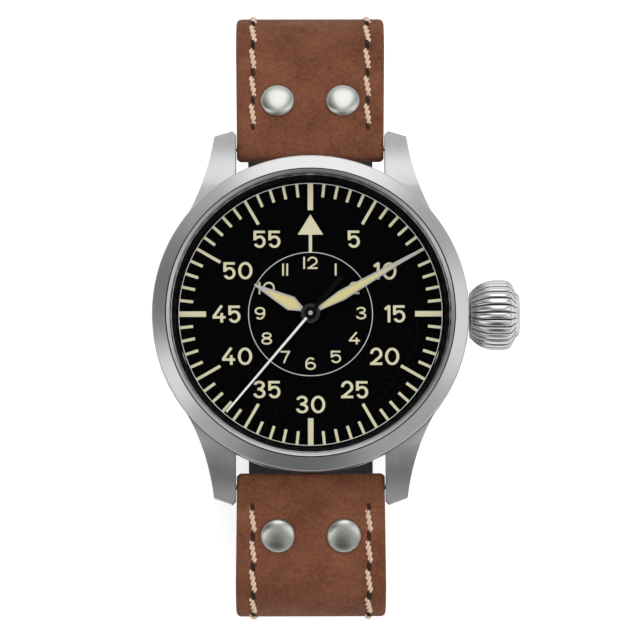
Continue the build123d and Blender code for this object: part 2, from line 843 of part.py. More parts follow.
# Main plate and bridges: the fixed skeleton of the movement, standing on the case's ledge
pocket_shares = (
    (-0.18, 0.15), (-0.18, -0.12), (0.0, -0.24), (0.35, -0.24), (0.53, -0.13), (0.91, -0.13),
    (0.91, 0.23), (0.72, 0.38), (0.58, 0.38), (0.48, 0.18), (0.12, 0.18),
)
window_x0 = 9.6
lever_sweep_gap = 0.18
window_x1 = (stem_groove_x0 + stem_groove_x1) / 2 + crown_travel + lever_pin_r + lever_sweep_gap
window_half = 1.95
stem_channel = 0.1
hub_hole_r = 0.9
post_r = 0.7
bridge_thickness = 0.28
barrel_bridge_r = 8.6
barrel_bridge_sides = 12
barrel_post_r = 7.6
barrel_post_angles = (-9.0, 63.0, 153.0)
fourth_clear_r = 4.0
bridge_edge_y = -1.6
clutch_clear_half = 1.4
train_bridge_z = 3.7
train_bridge_top_z = 4.05
train_outline_shares = (
    (-0.5, -0.3), (-0.38, 0.12), (-0.05, 0.08), (0.14, -0.11), (0.16, -0.23), (0.03, -0.49), (-0.09, -0.49),
)
train_post_shares = ((-0.455, -0.27), (-0.33, 0.065), (-0.03, -0.44))
cock_z = 3.4
cock_top_z = 3.9
cock_half = 1.6
cock_post_distance = 5.9
cock_post_r = 1.0
stud_r = 0.25


def scaled(shares, size):
    """An outline written in shares of one size."""
    return [(x * size, y * size) for x, y in shares]


def main_plate():
    blank = extrude(RegularPolygon(plate_r, plate_sides), dial_back_z - plate_z)
    body = Pos(0, 0, plate_z) * blank
    body -= plate(scaled(pocket_shares, plate_r), recess_z, dial_back_z)
    body -= block(window_x0, window_x1, -window_half, window_half, plate_z, recess_z)
    half = stem_r + stem_channel
    body -= block(window_x1, plate_r + cut_overrun, -half, half, plate_z, stem_z + half)
    body -= peg(hub_hole_r, plate_z, recess_z)
    return body + peg(setting_hub_r, recess_z, motion_z + motion_thickness, setting_at)


def barrel_bridge():
    z1 = bridge_z + bridge_thickness
    outline = RegularPolygon(barrel_bridge_r, barrel_bridge_sides)
    body = Pos(barrel_at[0], barrel_at[1], bridge_z) * extrude(outline, bridge_thickness)
    clear = extrude(RegularPolygon(fourth_clear_r, barrel_bridge_sides), bridge_thickness)
    body -= Pos(0, 0, bridge_z) * clear
    body -= block(-plate_r, plate_r, -plate_r, bridge_edge_y, bridge_z, z1)
    edge = clutch_x0 - pivot_gap
    body -= block(edge, plate_r, bridge_edge_y, clutch_clear_half, bridge_z, z1)
    body -= peg(barrel_arbor_r + running_gap, bridge_z, z1, barrel_at)
    for angle in barrel_post_angles:
        body += peg(post_r, z1, plate_z, polar(barrel_post_r, angle, barrel_at))
    body += peg(barrel_arbor_r - running_gap, ratchet_z, bridge_z, crown_wheel_at)
    return body + peg(arbor_r, ratchet_z, bridge_z, click_at)


def train_bridge():
    body = plate(scaled(train_outline_shares, plate_r), train_bridge_z, train_bridge_top_z)
    for at in scaled(train_post_shares, plate_r):
        body += peg(post_r, train_bridge_top_z, plate_z, at)
    return body


def balance_cock():
    foot = polar(cock_post_distance, cock_angle, balance_at)
    body = strut(polar(cock_half, cock_angle + 180, balance_at), foot, cock_half, cock_z, cock_top_z)
    body += peg(cock_half, cock_z, cock_top_z, foot)
    stud = polar(hairspring_outer + hairspring_thick / 2 + stud_r + seat_gap, cock_angle, balance_at)
    body += peg(stud_r, cock_top_z, hairspring_z + hairspring_height, stud)
    return body + peg(cock_post_r, cock_top_z, plate_z, foot)


# Strap: two tapering parts of leather and lining that close in a loop behind the case.
# Their side view follows a line of (distance from the axis, height), outer side to the left.
strap_clearance = 0.15
strap_taper = 0.85
strap_half = lug_gap / 2 - strap_clearance
strap_tail_half = strap_half - strap_taper
taper_top_z = -3.0
taper_end_z = -36.0
leather_at_lug = 2.1
leather_at_bend = 1.8
leather_thin = 1.4
lining_at_lug = 1.6
lining_at_bend = 1.3
lining_thin = 0.9
bore_clearance = 0.05
bar_tube_r = 0.9
top_bend_r = 5.0
low_bend_r = 9.0
ease_r = 12.0
buckle_bar_y = -2.0
buckle_bar_z = -41.3
buckle_loop_r = 1.35
buckle_bar_r = 0.75
upper_knee_reach = 19.15
lower_knee_reach = 16.86
upper_heel_reach = 1.7
lower_heel_reach = 2.7
upper_knee = (bar_distance + upper_knee_reach, -1.9)
upper_heel = (bar_distance + upper_heel_reach, -41.2)
lower_knee = (bar_distance + lower_knee_reach, -0.3)
lower_heel = (bar_distance + lower_heel_reach, -42.2)
lower_flat_y = 14.0
lower_step_y = 3.5
tail_gap = 0.25
tail_length = 16.0
lining_gap = 0.15
tail_tip_drop = 5.5
prong_slot_half = 0.95
prong_slot_y0 = -4.7
prong_slot_y1 = -1.0
prong_gap_half = 1.15


def offset_line(line, offsets):
    """A line moved to its left by an offset at each corner."""
    result = []
    for index, (point, shift) in enumerate(zip(line, offsets)):
        sides = []
        for start, end in ((index - 1, index), (index, index + 1)):
            if 0 <= start and end < len(line):
                run, rise = line[end][0] - line[start][0], line[end][1] - line[start][1]
                size = hypot(run, rise)
                sides.append((-rise / size, run / size))
        first, last = sides[0], sides[-1]
        spread = 1 + first[0] * last[0] + first[1] * last[1]
        across = ((first[0] + last[0]) / spread, (first[1] + last[1]) / spread)
        result.append((point[0] + across[0] * shift, point[1] + across[1] * shift))
    return result


def along(start, end, distance):
    """The point at a distance from the start towards the end."""
    size = hypot(end[0] - start[0], end[1] - start[1])
    return (start[0] + (end[0] - start[0]) / size * distance,
            start[1] + (end[1] - start[1]) / size * distance)


upper_line = [(bar_distance, bar_height), upper_knee, upper_heel, (buckle_bar_y, upper_heel[1])]
upper_bends = [top_bend_r, low_bend_r]
upper_leather = [leather_at_lug, leather_at_bend, leather_thin, leather_thin]
upper_lining = [-lining_at_lug, -lining_at_bend, -lining_thin, -lining_thin]
wrap = [thick + lining_thin + tail_gap for thick in upper_leather]
wrapped = offset_line(upper_line, wrap)
tail_end = along(wrapped[2], wrapped[1], tail_length)
lower_line = [
    (bar_distance, bar_height), lower_knee, lower_heel, (lower_flat_y, lower_heel[1]),
    (lower_step_y, wrapped[2][1]), (-wrapped[2][0], wrapped[2][1]), (-tail_end[0], tail_end[1]),
]
lower_bends = [top_bend_r, low_bend_r, ease_r, ease_r, low_bend_r + wrap[2]]
lower_leather = [leather_at_lug, leather_at_bend] + [leather_thin] * 5
lower_lining = [-lining_at_lug, -lining_at_bend] + [-lining_thin] * 5


def bend_radii(line, bends, offsets):
    """The radius of each bend on the offset line."""
    radii = []
    for index, bend in enumerate(bends, 1):
        before = (line[index][0] - line[index - 1][0], line[index][1] - line[index - 1][1])
        after = (line[index + 1][0] - line[index][0], line[index + 1][1] - line[index][1])
        turn = before[0] * after[1] - before[1] * after[0]
        radii.append(bend - offsets[index] if turn > 0 else bend + offsets[index])
    return radii


def strap_band(line, bends, left, right, side):
    """A layer of strap between two offsets of its line, on the 12 or the 6 side, tapering in width."""
    outer, inner = offset_line(line, left), offset_line(line, right)
    points = outer + inner[::-1]
    radii = [0] + bend_radii(line, bends, left) + [0, 0] + bend_radii(line, bends, right)[::-1] + [0]
    points = [(side * y, z) for y, z in points]
    face = make_face(Plane.YZ * FilletPolyline(*points, radius=radii, close=True))
    widest = extrude(face, strap_half, both=True)
    outline = [
        (-strap_half, loop_r * 3), (-strap_half, taper_top_z), (-strap_tail_half, taper_end_z),
        (-strap_tail_half, -case_diameter * 2), (strap_tail_half, -case_diameter * 2),
        (strap_tail_half, taper_end_z), (strap_half, taper_top_z), (strap_half, loop_r * 3),
    ]
    shape = extrude(make_face(Plane.XZ * Polyline(*outline, close=True)), case_diameter * 2, both=True)
    return widest & shape


def bar_loop(side):
    """The leather rolled round a spring bar."""
    y = side * bar_distance
    return rod(loop_r, -strap_half, strap_half, y, bar_height)


def bar_bore(side):
    y = side * bar_distance
    return peg_rod(bar_tube_r + bore_clearance, -strap_half, strap_half, y, bar_height)


# Rivets: domed heads on the outer leather, each on a shank through both layers
rivet_from_bar = 5.9
rivet_distance = bar_distance + rivet_from_bar
rivet_half_spacing = 4.4
rivet_head_r = 2.25
rivet_edge = 0.25
rivet_dome = 0.5
rivet_top_r = 1.3
rivet_sides = 16
rivet_shank_r = 0.8
rivet_shank_length = 3.3


def rivet_places(line, leather, side):
    """Where the two rivets of one strap part stand on its outer face."""
    (y0, z0), (y1, z1) = offset_line(line, leather)[:2]
    height = z0 + (rivet_distance - y0) / (y1 - y0) * (z1 - z0)
    lean = degrees(atan2(z1 - z0, y1 - y0))
    return [
        Pos(x, side * rivet_distance, height) * Rot(side * lean, 0, 0)
        for x in (-rivet_half_spacing, rivet_half_spacing)
    ]


def rivet_holes(line, leather, side):
    hole = peg(rivet_shank_r + seat_gap, -rivet_shank_length - cut_overrun, cut_overrun)
    return [place * hole for place in rivet_places(line, leather, side)]


def strap_rivets():
    outline = RegularPolygon(rivet_head_r, rivet_sides)
    lean = degrees(atan2(rivet_head_r - rivet_top_r, rivet_dome))
    rivet = extrude(outline, rivet_edge) + Pos(0, 0, rivet_edge) * extrude(outline, rivet_dome, taper=lean)
    rivet += peg(rivet_shank_r, -rivet_shank_length, 0)
    places = rivet_places(upper_line, upper_leather, 1) + rivet_places(lower_line, lower_leather, -1)
    return [place * rivet for place in places]


# The four strap pieces
def strap_12_leather():
    body = strap_band(upper_line, upper_bends, upper_leather, [0] * 4, 1) + bar_loop(1)
    eye = rod(buckle_loop_r, -strap_tail_half, strap_tail_half, buckle_bar_y, buckle_bar_z)
    body = body + eye - bar_bore(1)
    body -= peg_rod(buckle_bar_r + bore_clearance, -strap_tail_half, strap_tail_half,
                    buckle_bar_y, buckle_bar_z)
    slot_y1 = buckle_bar_y + buckle_loop_r + bore_clearance
    body -= block(-prong_gap_half, prong_gap_half, buckle_bar_y - buckle_loop_r * 2, slot_y1,
                  buckle_bar_z - buckle_loop_r * 2, buckle_bar_z + buckle_loop_r * 2)
    return body - rivet_holes(upper_line, upper_leather, 1)


def strap_12_lining():
    start = along(upper_line[0], upper_line[1], loop_r + lining_gap)
    end = along(upper_line[-1], upper_line[-2], buckle_loop_r + lining_gap)
    line = [start] + upper_line[1:-1] + [end]
    body = strap_band(line, upper_bends, [0] * 4, upper_lining, 1)
    return body - rivet_holes(upper_line, upper_leather, 1)


def lower_cuts():
    """The prong's slot and the rounded tail of the lower strap."""
    deep = case_diameter * 2
    z0, z1 = tail_end[1] - deep, lower_heel[1] + loop_r * 2
    slot = block(-prong_slot_half, prong_slot_half, prong_slot_y0, prong_slot_y1, z0, z1)
    tip_z = tail_end[1] + leather_thin
    corner_z = tip_z - tail_tip_drop
    tip = Plane.XZ * make_face([
        Line((-strap_half, -deep), (-strap_half, corner_z)),
        ThreePointArc((-strap_half, corner_z), (0, tip_z), (strap_half, corner_z)),
        Line((strap_half, corner_z), (strap_half, -deep)),
        Line((strap_half, -deep), (-strap_half, -deep)),
    ])
    beyond = block(-strap_half, strap_half, wrapped[2][0], deep, corner_z - loop_r, 0)
    return slot, beyond - extrude(tip, deep, both=True)


def strap_6_leather():
    body = strap_band(lower_line, lower_bends, lower_leather, [0] * 7, -1)
    body = body + bar_loop(-1) - bar_bore(-1)
    slot, tail = lower_cuts()
    return body - slot - tail - rivet_holes(lower_line, lower_leather, -1)


def strap_6_lining():
    line = [along(lower_line[0], lower_line[1], loop_r + lining_gap)] + lower_line[1:]
    body = strap_band(line, lower_bends, [0] * 7, lower_lining, -1)
    slot, tail = lower_cuts()
    return body - slot - tail - rivet_holes(lower_line, lower_leather, -1)


# Spring bars: a tube in each strap end, with a sprung pin at each end that reaches into the lug
bar_end_gap = 0.1
pin_r = 0.4
pin_inset = 2.25
pin_reach = 0.9
bar_half = strap_half - bar_end_gap
pin_inner = bar_half - pin_inset


def spring_bar(side):
    tube = peg_rod(bar_tube_r, -bar_half, bar_half, side * bar_distance, bar_height)
    return tube - peg_rod(pin_r + seat_gap, -bar_half, bar_half, side * bar_distance, bar_height)


def spring_pin(side, way):
    start, end = sorted((way * pin_inner, way * (lug_gap / 2 + pin_reach)))
    return peg_rod(pin_r, start, end, side * bar_distance, bar_height)


# Buckle: a frame that swings on the bar in the upper strap's end, a prong, and two keepers
frame_clearance = 0.4
frame_width = 1.6
frame_inner_half = strap_tail_half + frame_clearance
frame_outer_half = frame_inner_half + frame_width
frame_eye_r = 1.3
cross_y0 = -13.2
cross_y1 = -10.8
cross_top_z = -44.15
rest_z = -46.5
frame_bevel = 0.5
prong_half = 0.75
prong_eye_r = 1.25
prong_eye_half = 1.0
prong_thickness = 1.1
prong_line = ((buckle_bar_y, buckle_bar_z), (-3.2, -44.9), (-4.6, -45.85), (-13.0, -45.85))
notch_gap = 0.1
keeper_y0 = 2.0
keeper_width = 4.0
keeper_wall = 1.1
keeper_gap = 0.12
free_keeper_y0 = 9.0
free_keeper_gap = 0.3


def buckle_frame():
    side = make_face(Plane.YZ * Polyline(
        (buckle_bar_y, buckle_bar_z + frame_eye_r), (cross_y0, cross_top_z),
        (cross_y0, rest_z + frame_bevel), (cross_y0 + frame_bevel, rest_z), (cross_y1, rest_z),
        (buckle_bar_y, buckle_bar_z - frame_eye_r), close=True))
    arm = extrude(side, frame_outer_half, both=True)
    arm -= extrude(side, frame_inner_half, both=True)
    for way in (-1, 1):
        start, end = sorted((way * frame_inner_half, way * frame_outer_half))
        arm += rod(frame_eye_r, start, end, buckle_bar_y, buckle_bar_z)
    bar = make_face(Plane.YZ * Polyline(
        (cross_y0, cross_top_z), (cross_y0, rest_z + frame_bevel), (cross_y0 + frame_bevel, rest_z),
        (cross_y1, rest_z), (cross_y1, cross_top_z), close=True))
    body = arm + extrude(bar, frame_outer_half, both=True)
    body -= peg_rod(buckle_bar_r + running_gap, -frame_outer_half, frame_outer_half,
                    buckle_bar_y, buckle_bar_z)
    notch = prong_half + notch_gap
    top = prong_line[-1][1] + prong_thickness / 2 + notch_gap
    return body - block(-notch, notch, cross_y0, cross_y1, rest_z, top)


def buckle_prong():
    half = prong_thickness / 2
    high, low = offset_line(prong_line, [half] * 4), offset_line(prong_line, [-half] * 4)
    face = make_face(Plane.YZ * Polyline(*(high + low[::-1]), close=True))
    body = extrude(face, prong_half, both=True)
    body += rod(prong_eye_r, -prong_eye_half, prong_eye_half, buckle_bar_y, buckle_bar_z)
    return body - peg_rod(buckle_bar_r + running_gap, -prong_eye_half, prong_eye_half,
                          buckle_bar_y, buckle_bar_z)


def buckle_bar():
    return peg_rod(buckle_bar_r, -frame_outer_half, frame_outer_half, buckle_bar_y, buckle_bar_z)


def keeper(y0, gap):
    """A leather loop round both strap parts, its underside on the same level as the buckle's."""
    top = upper_line[2][1] + lining_thin + gap
    low = wrapped[2][1] - leather_thin - gap
    half = strap_tail_half + gap
    outer = block(-half - keeper_wall, half + keeper_wall, y0, y0 + keeper_width, rest_z, top + keeper_wall)
    return outer - block(-half, half, y0, y0 + keeper_width, low, top)


nodes = {
    "case_middle": case_middle, "bezel": bezel, "crystal": crystal,
    "rehaut_ring": rehaut_ring, "case_back": case_back, "crown": crown, "crown_tube": crown_tube,
    "crown_gasket": crown_gasket, "dial": dial, "dial_markers": dial_markers,
    "hour_hand": hour_hand, "hour_lume": lambda: lume(hour_sizes, hour_hand_z, hour_turn),
    "minute_hand": minute_hand,
    "minute_lume": lambda: lume(minute_sizes, minute_hand_z, minute_turn),
    "seconds_hand": seconds_hand, "main_plate": main_plate, "barrel": barrel,
    "mainspring": mainspring, "barrel_arbor": barrel_arbor, "ratchet_wheel": ratchet_wheel,
    "crown_wheel": crown_wheel, "click": click, "winding_stem": winding_stem,
    "winding_pinion": winding_pinion, "clutch_pinion": clutch_pinion,
    "setting_lever": setting_lever, "yoke": yoke, "setting_wheel": setting_wheel,
    "minute_wheel": minute_wheel, "cannon_pinion": cannon_pinion, "hour_wheel": hour_wheel,
    "centre_wheel": centre_wheel, "third_wheel": third_wheel, "fourth_wheel": fourth_wheel,
    "escape_wheel": escape_wheel, "pallet_fork": pallet_fork, "balance_wheel": balance_wheel,
    "hairspring": hairspring, "balance_cock": balance_cock, "train_bridge": train_bridge,
    "barrel_bridge": barrel_bridge, "strap_12_leather": strap_12_leather,
    "strap_12_lining": strap_12_lining, "strap_6_leather": strap_6_leather,
    "strap_6_lining": strap_6_lining, "strap_rivets": strap_rivets,
    "spring_bar_12": lambda: spring_bar(1), "spring_bar_6": lambda: spring_bar(-1),
    "pin_12_left": lambda: spring_pin(1, -1), "pin_12_right": lambda: spring_pin(1, 1),
    "pin_6_left": lambda: spring_pin(-1, -1), "pin_6_right": lambda: spring_pin(-1, 1),
    "buckle_frame": buckle_frame, "buckle_prong": buckle_prong, "buckle_bar": buckle_bar,
    "fixed_keeper": lambda: keeper(keeper_y0, keeper_gap),
    "free_keeper": lambda: keeper(free_keeper_y0, free_keeper_gap),
}

for node_name, make in nodes.items():
    made = make()
    save(node_name, *(made if isinstance(made, list) else [made]))
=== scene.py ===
from math import atan2, cos, hypot, pi, radians, sin

import bmesh
import bpy
from mathutils import Matrix, Quaternion, Vector
from mathutils.bvhtree import BVHTree


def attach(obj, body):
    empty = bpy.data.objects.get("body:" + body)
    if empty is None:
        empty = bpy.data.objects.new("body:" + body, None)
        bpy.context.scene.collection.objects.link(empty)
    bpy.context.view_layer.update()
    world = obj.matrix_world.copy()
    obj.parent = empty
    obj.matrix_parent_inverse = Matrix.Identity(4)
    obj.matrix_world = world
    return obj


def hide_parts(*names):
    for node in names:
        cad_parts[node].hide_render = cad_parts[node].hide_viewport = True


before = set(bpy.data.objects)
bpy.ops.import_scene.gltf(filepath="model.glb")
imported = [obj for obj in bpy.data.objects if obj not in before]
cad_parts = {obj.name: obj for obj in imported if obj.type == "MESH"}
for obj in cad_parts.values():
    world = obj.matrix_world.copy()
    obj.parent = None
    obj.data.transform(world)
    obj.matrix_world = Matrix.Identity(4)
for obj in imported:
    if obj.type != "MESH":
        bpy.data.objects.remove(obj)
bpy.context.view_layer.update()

# Studio. A white table under the watch in a pale tent, with bright cards standing behind
# twelve, at three and at eight, dark ones at six and at half past nine, and two soft lamps.
mm = 0.001
table_z = -46.5 * mm
table_half = 1.5
camera_target = Vector((0, 0, 8 * mm))
camera_distance = 500 * mm
camera_elevation = radians(84.5)
camera_roll = radians(-0.1)
camera_lens = 212
camera_shift = (0.0148, -0.0099)
scene = bpy.context.scene
scene.view_settings.view_transform = 'Standard'


class Socket:
    """An output in a node tree. Sums and products of outputs and numbers add Math nodes."""

    def __init__(self, tree, output=None):
        self.tree = tree
        self.output = output

    def node(self, kind, settings=None, inputs=None, output=0):
        """Adds one shader node: its settings first, then the values or links of its inputs."""
        made = self.tree.nodes.new('ShaderNode' + kind)
        for name, value in (settings or {}).items():
            if name == 'stops':
                stops = made.color_ramp.elements
                while len(stops) < len(value):
                    stops.new(1.0)
                for stop, (place, colour) in zip(stops, value):
                    stop.position = place
                    stop.color = colour
            else:
                setattr(made, name, value)
        for name, value in (inputs or {}).items():
            if isinstance(value, Socket):
                self.tree.links.new(value.output, made.inputs[name])
            else:
                made.inputs[name].default_value = value
        return Socket(self.tree, made.outputs[output] if len(made.outputs) else None)

    def math(self, operation, *values):
        return self.node('Math', {'operation': operation}, dict(enumerate(values)))

    def __add__(self, other):
        return self.math('ADD', self, other)

    def __radd__(self, other):
        return self.math('ADD', other, self)

    def __rsub__(self, other):
        return self.math('SUBTRACT', other, self)

    def __mul__(self, other):
        return self.math('MULTIPLY', self, other)

    def __rmul__(self, other):
        return self.math('MULTIPLY', other, self)


# each card: direction in degrees from three o'clock, half-widths of its core and of its
# soft edge, and the light that it adds to the tent; near the table the cards fade
tent_level = 0.62
tent_cards = (
    (87, 18, 36, 1.5), (3, 8, 31, 0.9), (198, 6, 18, 1.05), (162, 8, 30, -0.45), (265, 14, 32, -0.52))
card_top = (0.1, 0.45)  # how far aside a direction points, from overhead (0) to level (1)
card_foot = (0.8, 0.97)
card_foot_share = 0.85
white = (1.0, 1.0, 1.0, 1.0)
table_white = (0.82, 0.82, 0.82, 1.0)
table_glow = 0.5
lamps = (  # name, place, size in metres and power in watts
    ('key', (0.06, -0.05, 0.50), 0.24, 0.50), ('fill', (-0.24, -0.22, 0.36), 0.26, 0.14))
world = bpy.data.worlds.new('studio')
scene.world = world
world.use_nodes = True
world.node_tree.nodes.clear()
sky = Socket(world.node_tree)
direction = sky.node('TexCoord', output='Generated')
x = sky.node('SeparateXYZ', {}, {0: direction}, 0)
y = sky.node('SeparateXYZ', {}, {0: direction}, 1)
aside = x * x + y * y
aside = aside.math('SQRT', aside)


def eased_step(value, low, high):
    """Rises smoothly from 0 to 1 while the value goes from low to high."""
    return sky.node('MapRange', {'interpolation_type': 'SMOOTHSTEP'},
                    {'Value': value, 'From Min': low, 'From Max': high})


standing = eased_step(aside, *card_top)
low = eased_step(aside, *card_foot)
standing = standing * (1 - card_foot_share * low)
cards = 0 * x
for azimuth, core, edge, light in tent_cards:
    facing = x * cos(radians(azimuth)) + y * sin(radians(azimuth))
    facing = facing.math('DIVIDE', facing, aside.math('MAXIMUM', aside, 0.001))
    cards = cards + light * eased_step(facing, cos(radians(edge)), cos(radians(core)))
level = tent_level + standing * cards
seen = sky.node('LightPath', output='Is Camera Ray')
level = level + seen * (1 - level)
backdrop = sky.node('Background', {}, {'Color': white, 'Strength': level})
sky.node('OutputWorld', {}, {'Surface': backdrop})

floor_mesh = bpy.data.meshes.new('table_top')
floor_form = bmesh.new()
bmesh.ops.create_grid(floor_form, x_segments=1, y_segments=1, size=table_half)
bmesh.ops.translate(floor_form, verts=floor_form.verts, vec=(0, 0, table_z))
floor_form.to_mesh(floor_mesh)
floor = bpy.data.objects.new('table_top', floor_mesh)
scene.collection.objects.link(floor)
card = bpy.data.materials.new('white_card')
card.use_nodes = True
card.node_tree.nodes.clear()
paper = Socket(card.node_tree)
matt = paper.node('BsdfDiffuse', {}, {'Color': table_white})
glow = paper.node('Emission', {}, {'Color': white, 'Strength': table_glow})
path = card.node_tree.nodes.new('ShaderNodeLightPath')
shown = Socket(card.node_tree, path.outputs['Is Camera Ray'])
shown = shown.math('MAXIMUM', shown, Socket(card.node_tree, path.outputs['Is Glossy Ray']))
shown = shown.math('MAXIMUM', shown, Socket(card.node_tree, path.outputs['Is Transmission Ray']))
both = paper.node('AddShader', {}, {0: matt, 1: glow})
top = paper.node('MixShader', {}, {0: shown, 1: matt, 2: both})
paper.node('OutputMaterial', {}, {'Surface': top})
floor_mesh.materials.append(card)

for name, place, size, watts in lamps:
    lamp = bpy.data.lights.new(name, 'AREA')
    lamp.size = size
    lamp.energy = watts
    lamp_object = bpy.data.objects.new(name, lamp)
    lamp_object.location = place
    lamp_object.visible_glossy = False
    lamp_object.rotation_mode = 'QUATERNION'
    lamp_object.rotation_quaternion = (camera_target - Vector(place)).to_track_quat('-Z', 'Y')
    scene.collection.objects.link(lamp_object)

camera = bpy.data.objects.new('camera', bpy.data.cameras.new('camera'))
scene.collection.objects.link(camera)
scene.camera = camera
camera.data.lens = camera_lens
camera.data.shift_x, camera.data.shift_y = camera_shift
camera.data.clip_start = 10 * mm
away = Vector((0, -cos(camera_elevation), sin(camera_elevation)))
camera.location = camera_target + away * camera_distance
camera.rotation_mode = 'QUATERNION'
camera.rotation_quaternion = (-away).to_track_quat('-Z', 'Y') @ Quaternion((0, 0, 1), camera_roll)


# Case middle. Turned from one steel bar with its four curved lugs, brushed lengthwise,
# with a fine bright chamfer left along every edge of the lugs.
case_edge = 0.16 * mm
steel_colour = (0.50, 0.503, 0.507, 1.0)
sharp_angle = radians(28)
flat_angle = radians(0.4)
weld = 0.003 * mm
even = (1, 1, 1)
dark_share = 0.84


def material(name):
    """A new empty material and the socket that its nodes are added from."""
    made = bpy.data.materials.new(name)
    made.use_nodes = True
    made.node_tree.nodes.clear()
    return made, Socket(made.node_tree)


def surface(base, inputs):
    """Closes a material with a Principled shader."""
    shader = base.node('BsdfPrincipled', {}, inputs)
    base.node('OutputMaterial', {}, {'Surface': shader})


def grain(base, scale, stretch=even, detail=4.0, turned=(0, 0, 0)):
    """Fine noise in the piece's own coordinates, scale grains a metre, drawn out along some axes."""
    place = base.node('TexCoord', output='Object')
    place = base.node('Mapping', {}, {'Vector': place, 'Scale': stretch, 'Rotation': turned})
    return base.node('TexNoise', {}, {'Vector': place, 'Scale': scale, 'Detail': detail, 'Roughness': 0.6})


def tint(base, mask, dark, light):
    """Blends two colours by a mask."""
    return base.node('Mix', {'data_type': 'RGBA'}, {0: mask, 6: dark, 7: light}, 2)


def relief(base, height, depth):
    """Raises the surface by a height from 0 to 1, to a depth in metres."""
    return base.node('Bump', {}, {'Height': height, 'Distance': depth, 'Strength': 1.0})


def darker(colour):
    return tuple(channel * dark_share for channel in colour[:3]) + (1.0,)


def brushed(name, colour, stretch, rough, scale=1000.0, anisotropic=0.55, bump=0.006 * mm):
    """Steel brushed in straight lines."""
    made, base = material(name)
    lines = grain(base, scale, stretch)
    cloud = grain(base, 220.0, detail=2.0)
    surface(base, {'Base Color': tint(base, lines, darker(colour), colour), 'Metallic': 1.0,
                   'Roughness': rough - 0.07 + 0.16 * lines + 0.06 * cloud,
                   'Anisotropic': anisotropic, 'Normal': relief(base, lines, bump)})
    return made


def dress(node, finish):
    """Gives a solid of the frame its finish."""
    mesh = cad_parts[node].data
    mesh.materials.clear()
    mesh.materials.append(finish)


def merged(node):
    """A copy of a solid of the frame with its corners joined up."""
    form = bmesh.new()
    form.from_mesh(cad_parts[node].data)
    bmesh.ops.remove_doubles(form, verts=form.verts, dist=weld)
    return form


def smooth(form, angle=sharp_angle):
    """Shades a form smoothly, save across edges sharper than an angle."""
    for face in form.faces:
        face.smooth = True
    for edge in form.edges:
        edge.smooth = len(edge.link_faces) == 2 and edge.calc_face_angle(0) < angle


def eased(node, body, finish, width, segments=2, shape=None, chosen=None):
    """A merged copy of a solid with its sharp or chosen edges eased, which stands for it."""
    form = merged(node)
    if shape:
        shape(form)
    else:
        bmesh.ops.dissolve_limit(form, angle_limit=flat_angle, verts=form.verts, edges=form.edges)
    smooth(form)
    if chosen:
        weight = form.edges.layers.float.new('bevel_weight_edge')
        for edge in form.edges:
            edge[weight] = 0.0 if edge.smooth or not chosen(edge) else 1.0
    mesh = bpy.data.meshes.new(node + '_finished')
    form.to_mesh(mesh)
    form.free()
    piece = bpy.data.objects.new(node + '_finished', mesh)
    scene.collection.objects.link(piece)
    mesh.materials.append(finish)
    soft = piece.modifiers.new('eased_edges', 'BEVEL')
    soft.width = width
    soft.segments = segments
    soft.limit_method = 'WEIGHT' if chosen else 'ANGLE'
    soft.use_clamp_overlap = not chosen
    soft.angle_limit = sharp_angle
    soft.harden_normals = True
    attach(piece, body)
    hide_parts(node)


case_steel = brushed('satin_case_steel', steel_colour, (1.0, 0.03, 1.0), 0.34)
eased('case_middle', 'case', case_steel, case_edge)


# Bezel. A steel ring pressed on the case, its top a shallow cone brushed in circles,
# then a fine turned groove painted near-black as painted shade, and a polished bevel inside
# against the crystal; under its rim a thin dark ring of painted shadow lies on the lugs.
bezel_colour = (0.545, 0.547, 0.55, 1.0)
bevel_colour = (0.56, 0.56, 0.56, 1.0)
bezel_bore = 18.6
bezel_rim = 21.0
# the groove's floor between these radii is painted near-black: painted shade standing for the groove's shadow
groove_span = (19.04, 19.215)  # radii between which the turned groove is dark
groove_top = 10.3
bevel_end = 19.06
turned_angle = radians(14)
rings_per_metre = 2600.0
turned_steps = 240
bezel_profile = (  # radius and height, from the foot of the bore round to the foot outside
    (bezel_bore, 7.6), (bezel_bore, 10.24), (18.63, 10.31), (18.98, 10.53), (19.05, 10.545), (19.06, 10.40),
    (19.21, 10.34), (19.22, 10.46), (20.86, 9.76), (20.95, 9.69), (bezel_rim, 9.58), (bezel_rim, 7.74), (20.9, 7.7),
    (20.9, 7.6))


def circled(name, colour, rough, anisotropic=0.0):
    """Steel brushed in circles about the axis of the hands."""
    made, base = material(name)
    place = base.node('TexCoord', output='Object')
    x = base.node('SeparateXYZ', {}, {0: place}, 0)
    y = base.node('SeparateXYZ', {}, {0: place}, 1)
    radius = base.math('SQRT', x * x + y * y)
    angle = base.math('ARCTAN2', y, x)
    around = base.node('CombineXYZ', {}, {0: radius * rings_per_metre, 1: angle * 2.0, 2: 0.0})
    lines = base.node('TexNoise', {}, {'Vector': around, 'Scale': 3.0, 'Detail': 3.0})
    surface(base, {'Base Color': tint(base, lines, darker(colour), colour), 'Metallic': 1.0,
                   'Roughness': rough - 0.05 + 0.12 * lines, 'Anisotropic': anisotropic,
                   'Anisotropic Rotation': 0.25, 'Normal': relief(base, lines, 0.004 * mm)})
    return made


def new_piece(name, form, body, finishes, stands_for=()):
    """Makes an object of a finished bmesh, riding on a body and standing for its solids."""
    mesh = bpy.data.meshes.new(name)
    form.to_mesh(mesh)
    form.free()
    for finish in finishes:
        mesh.materials.append(finish)
    piece = bpy.data.objects.new(name, mesh)
    scene.collection.objects.link(piece)
    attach(piece, body)
    if stands_for:
        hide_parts(*stands_for)


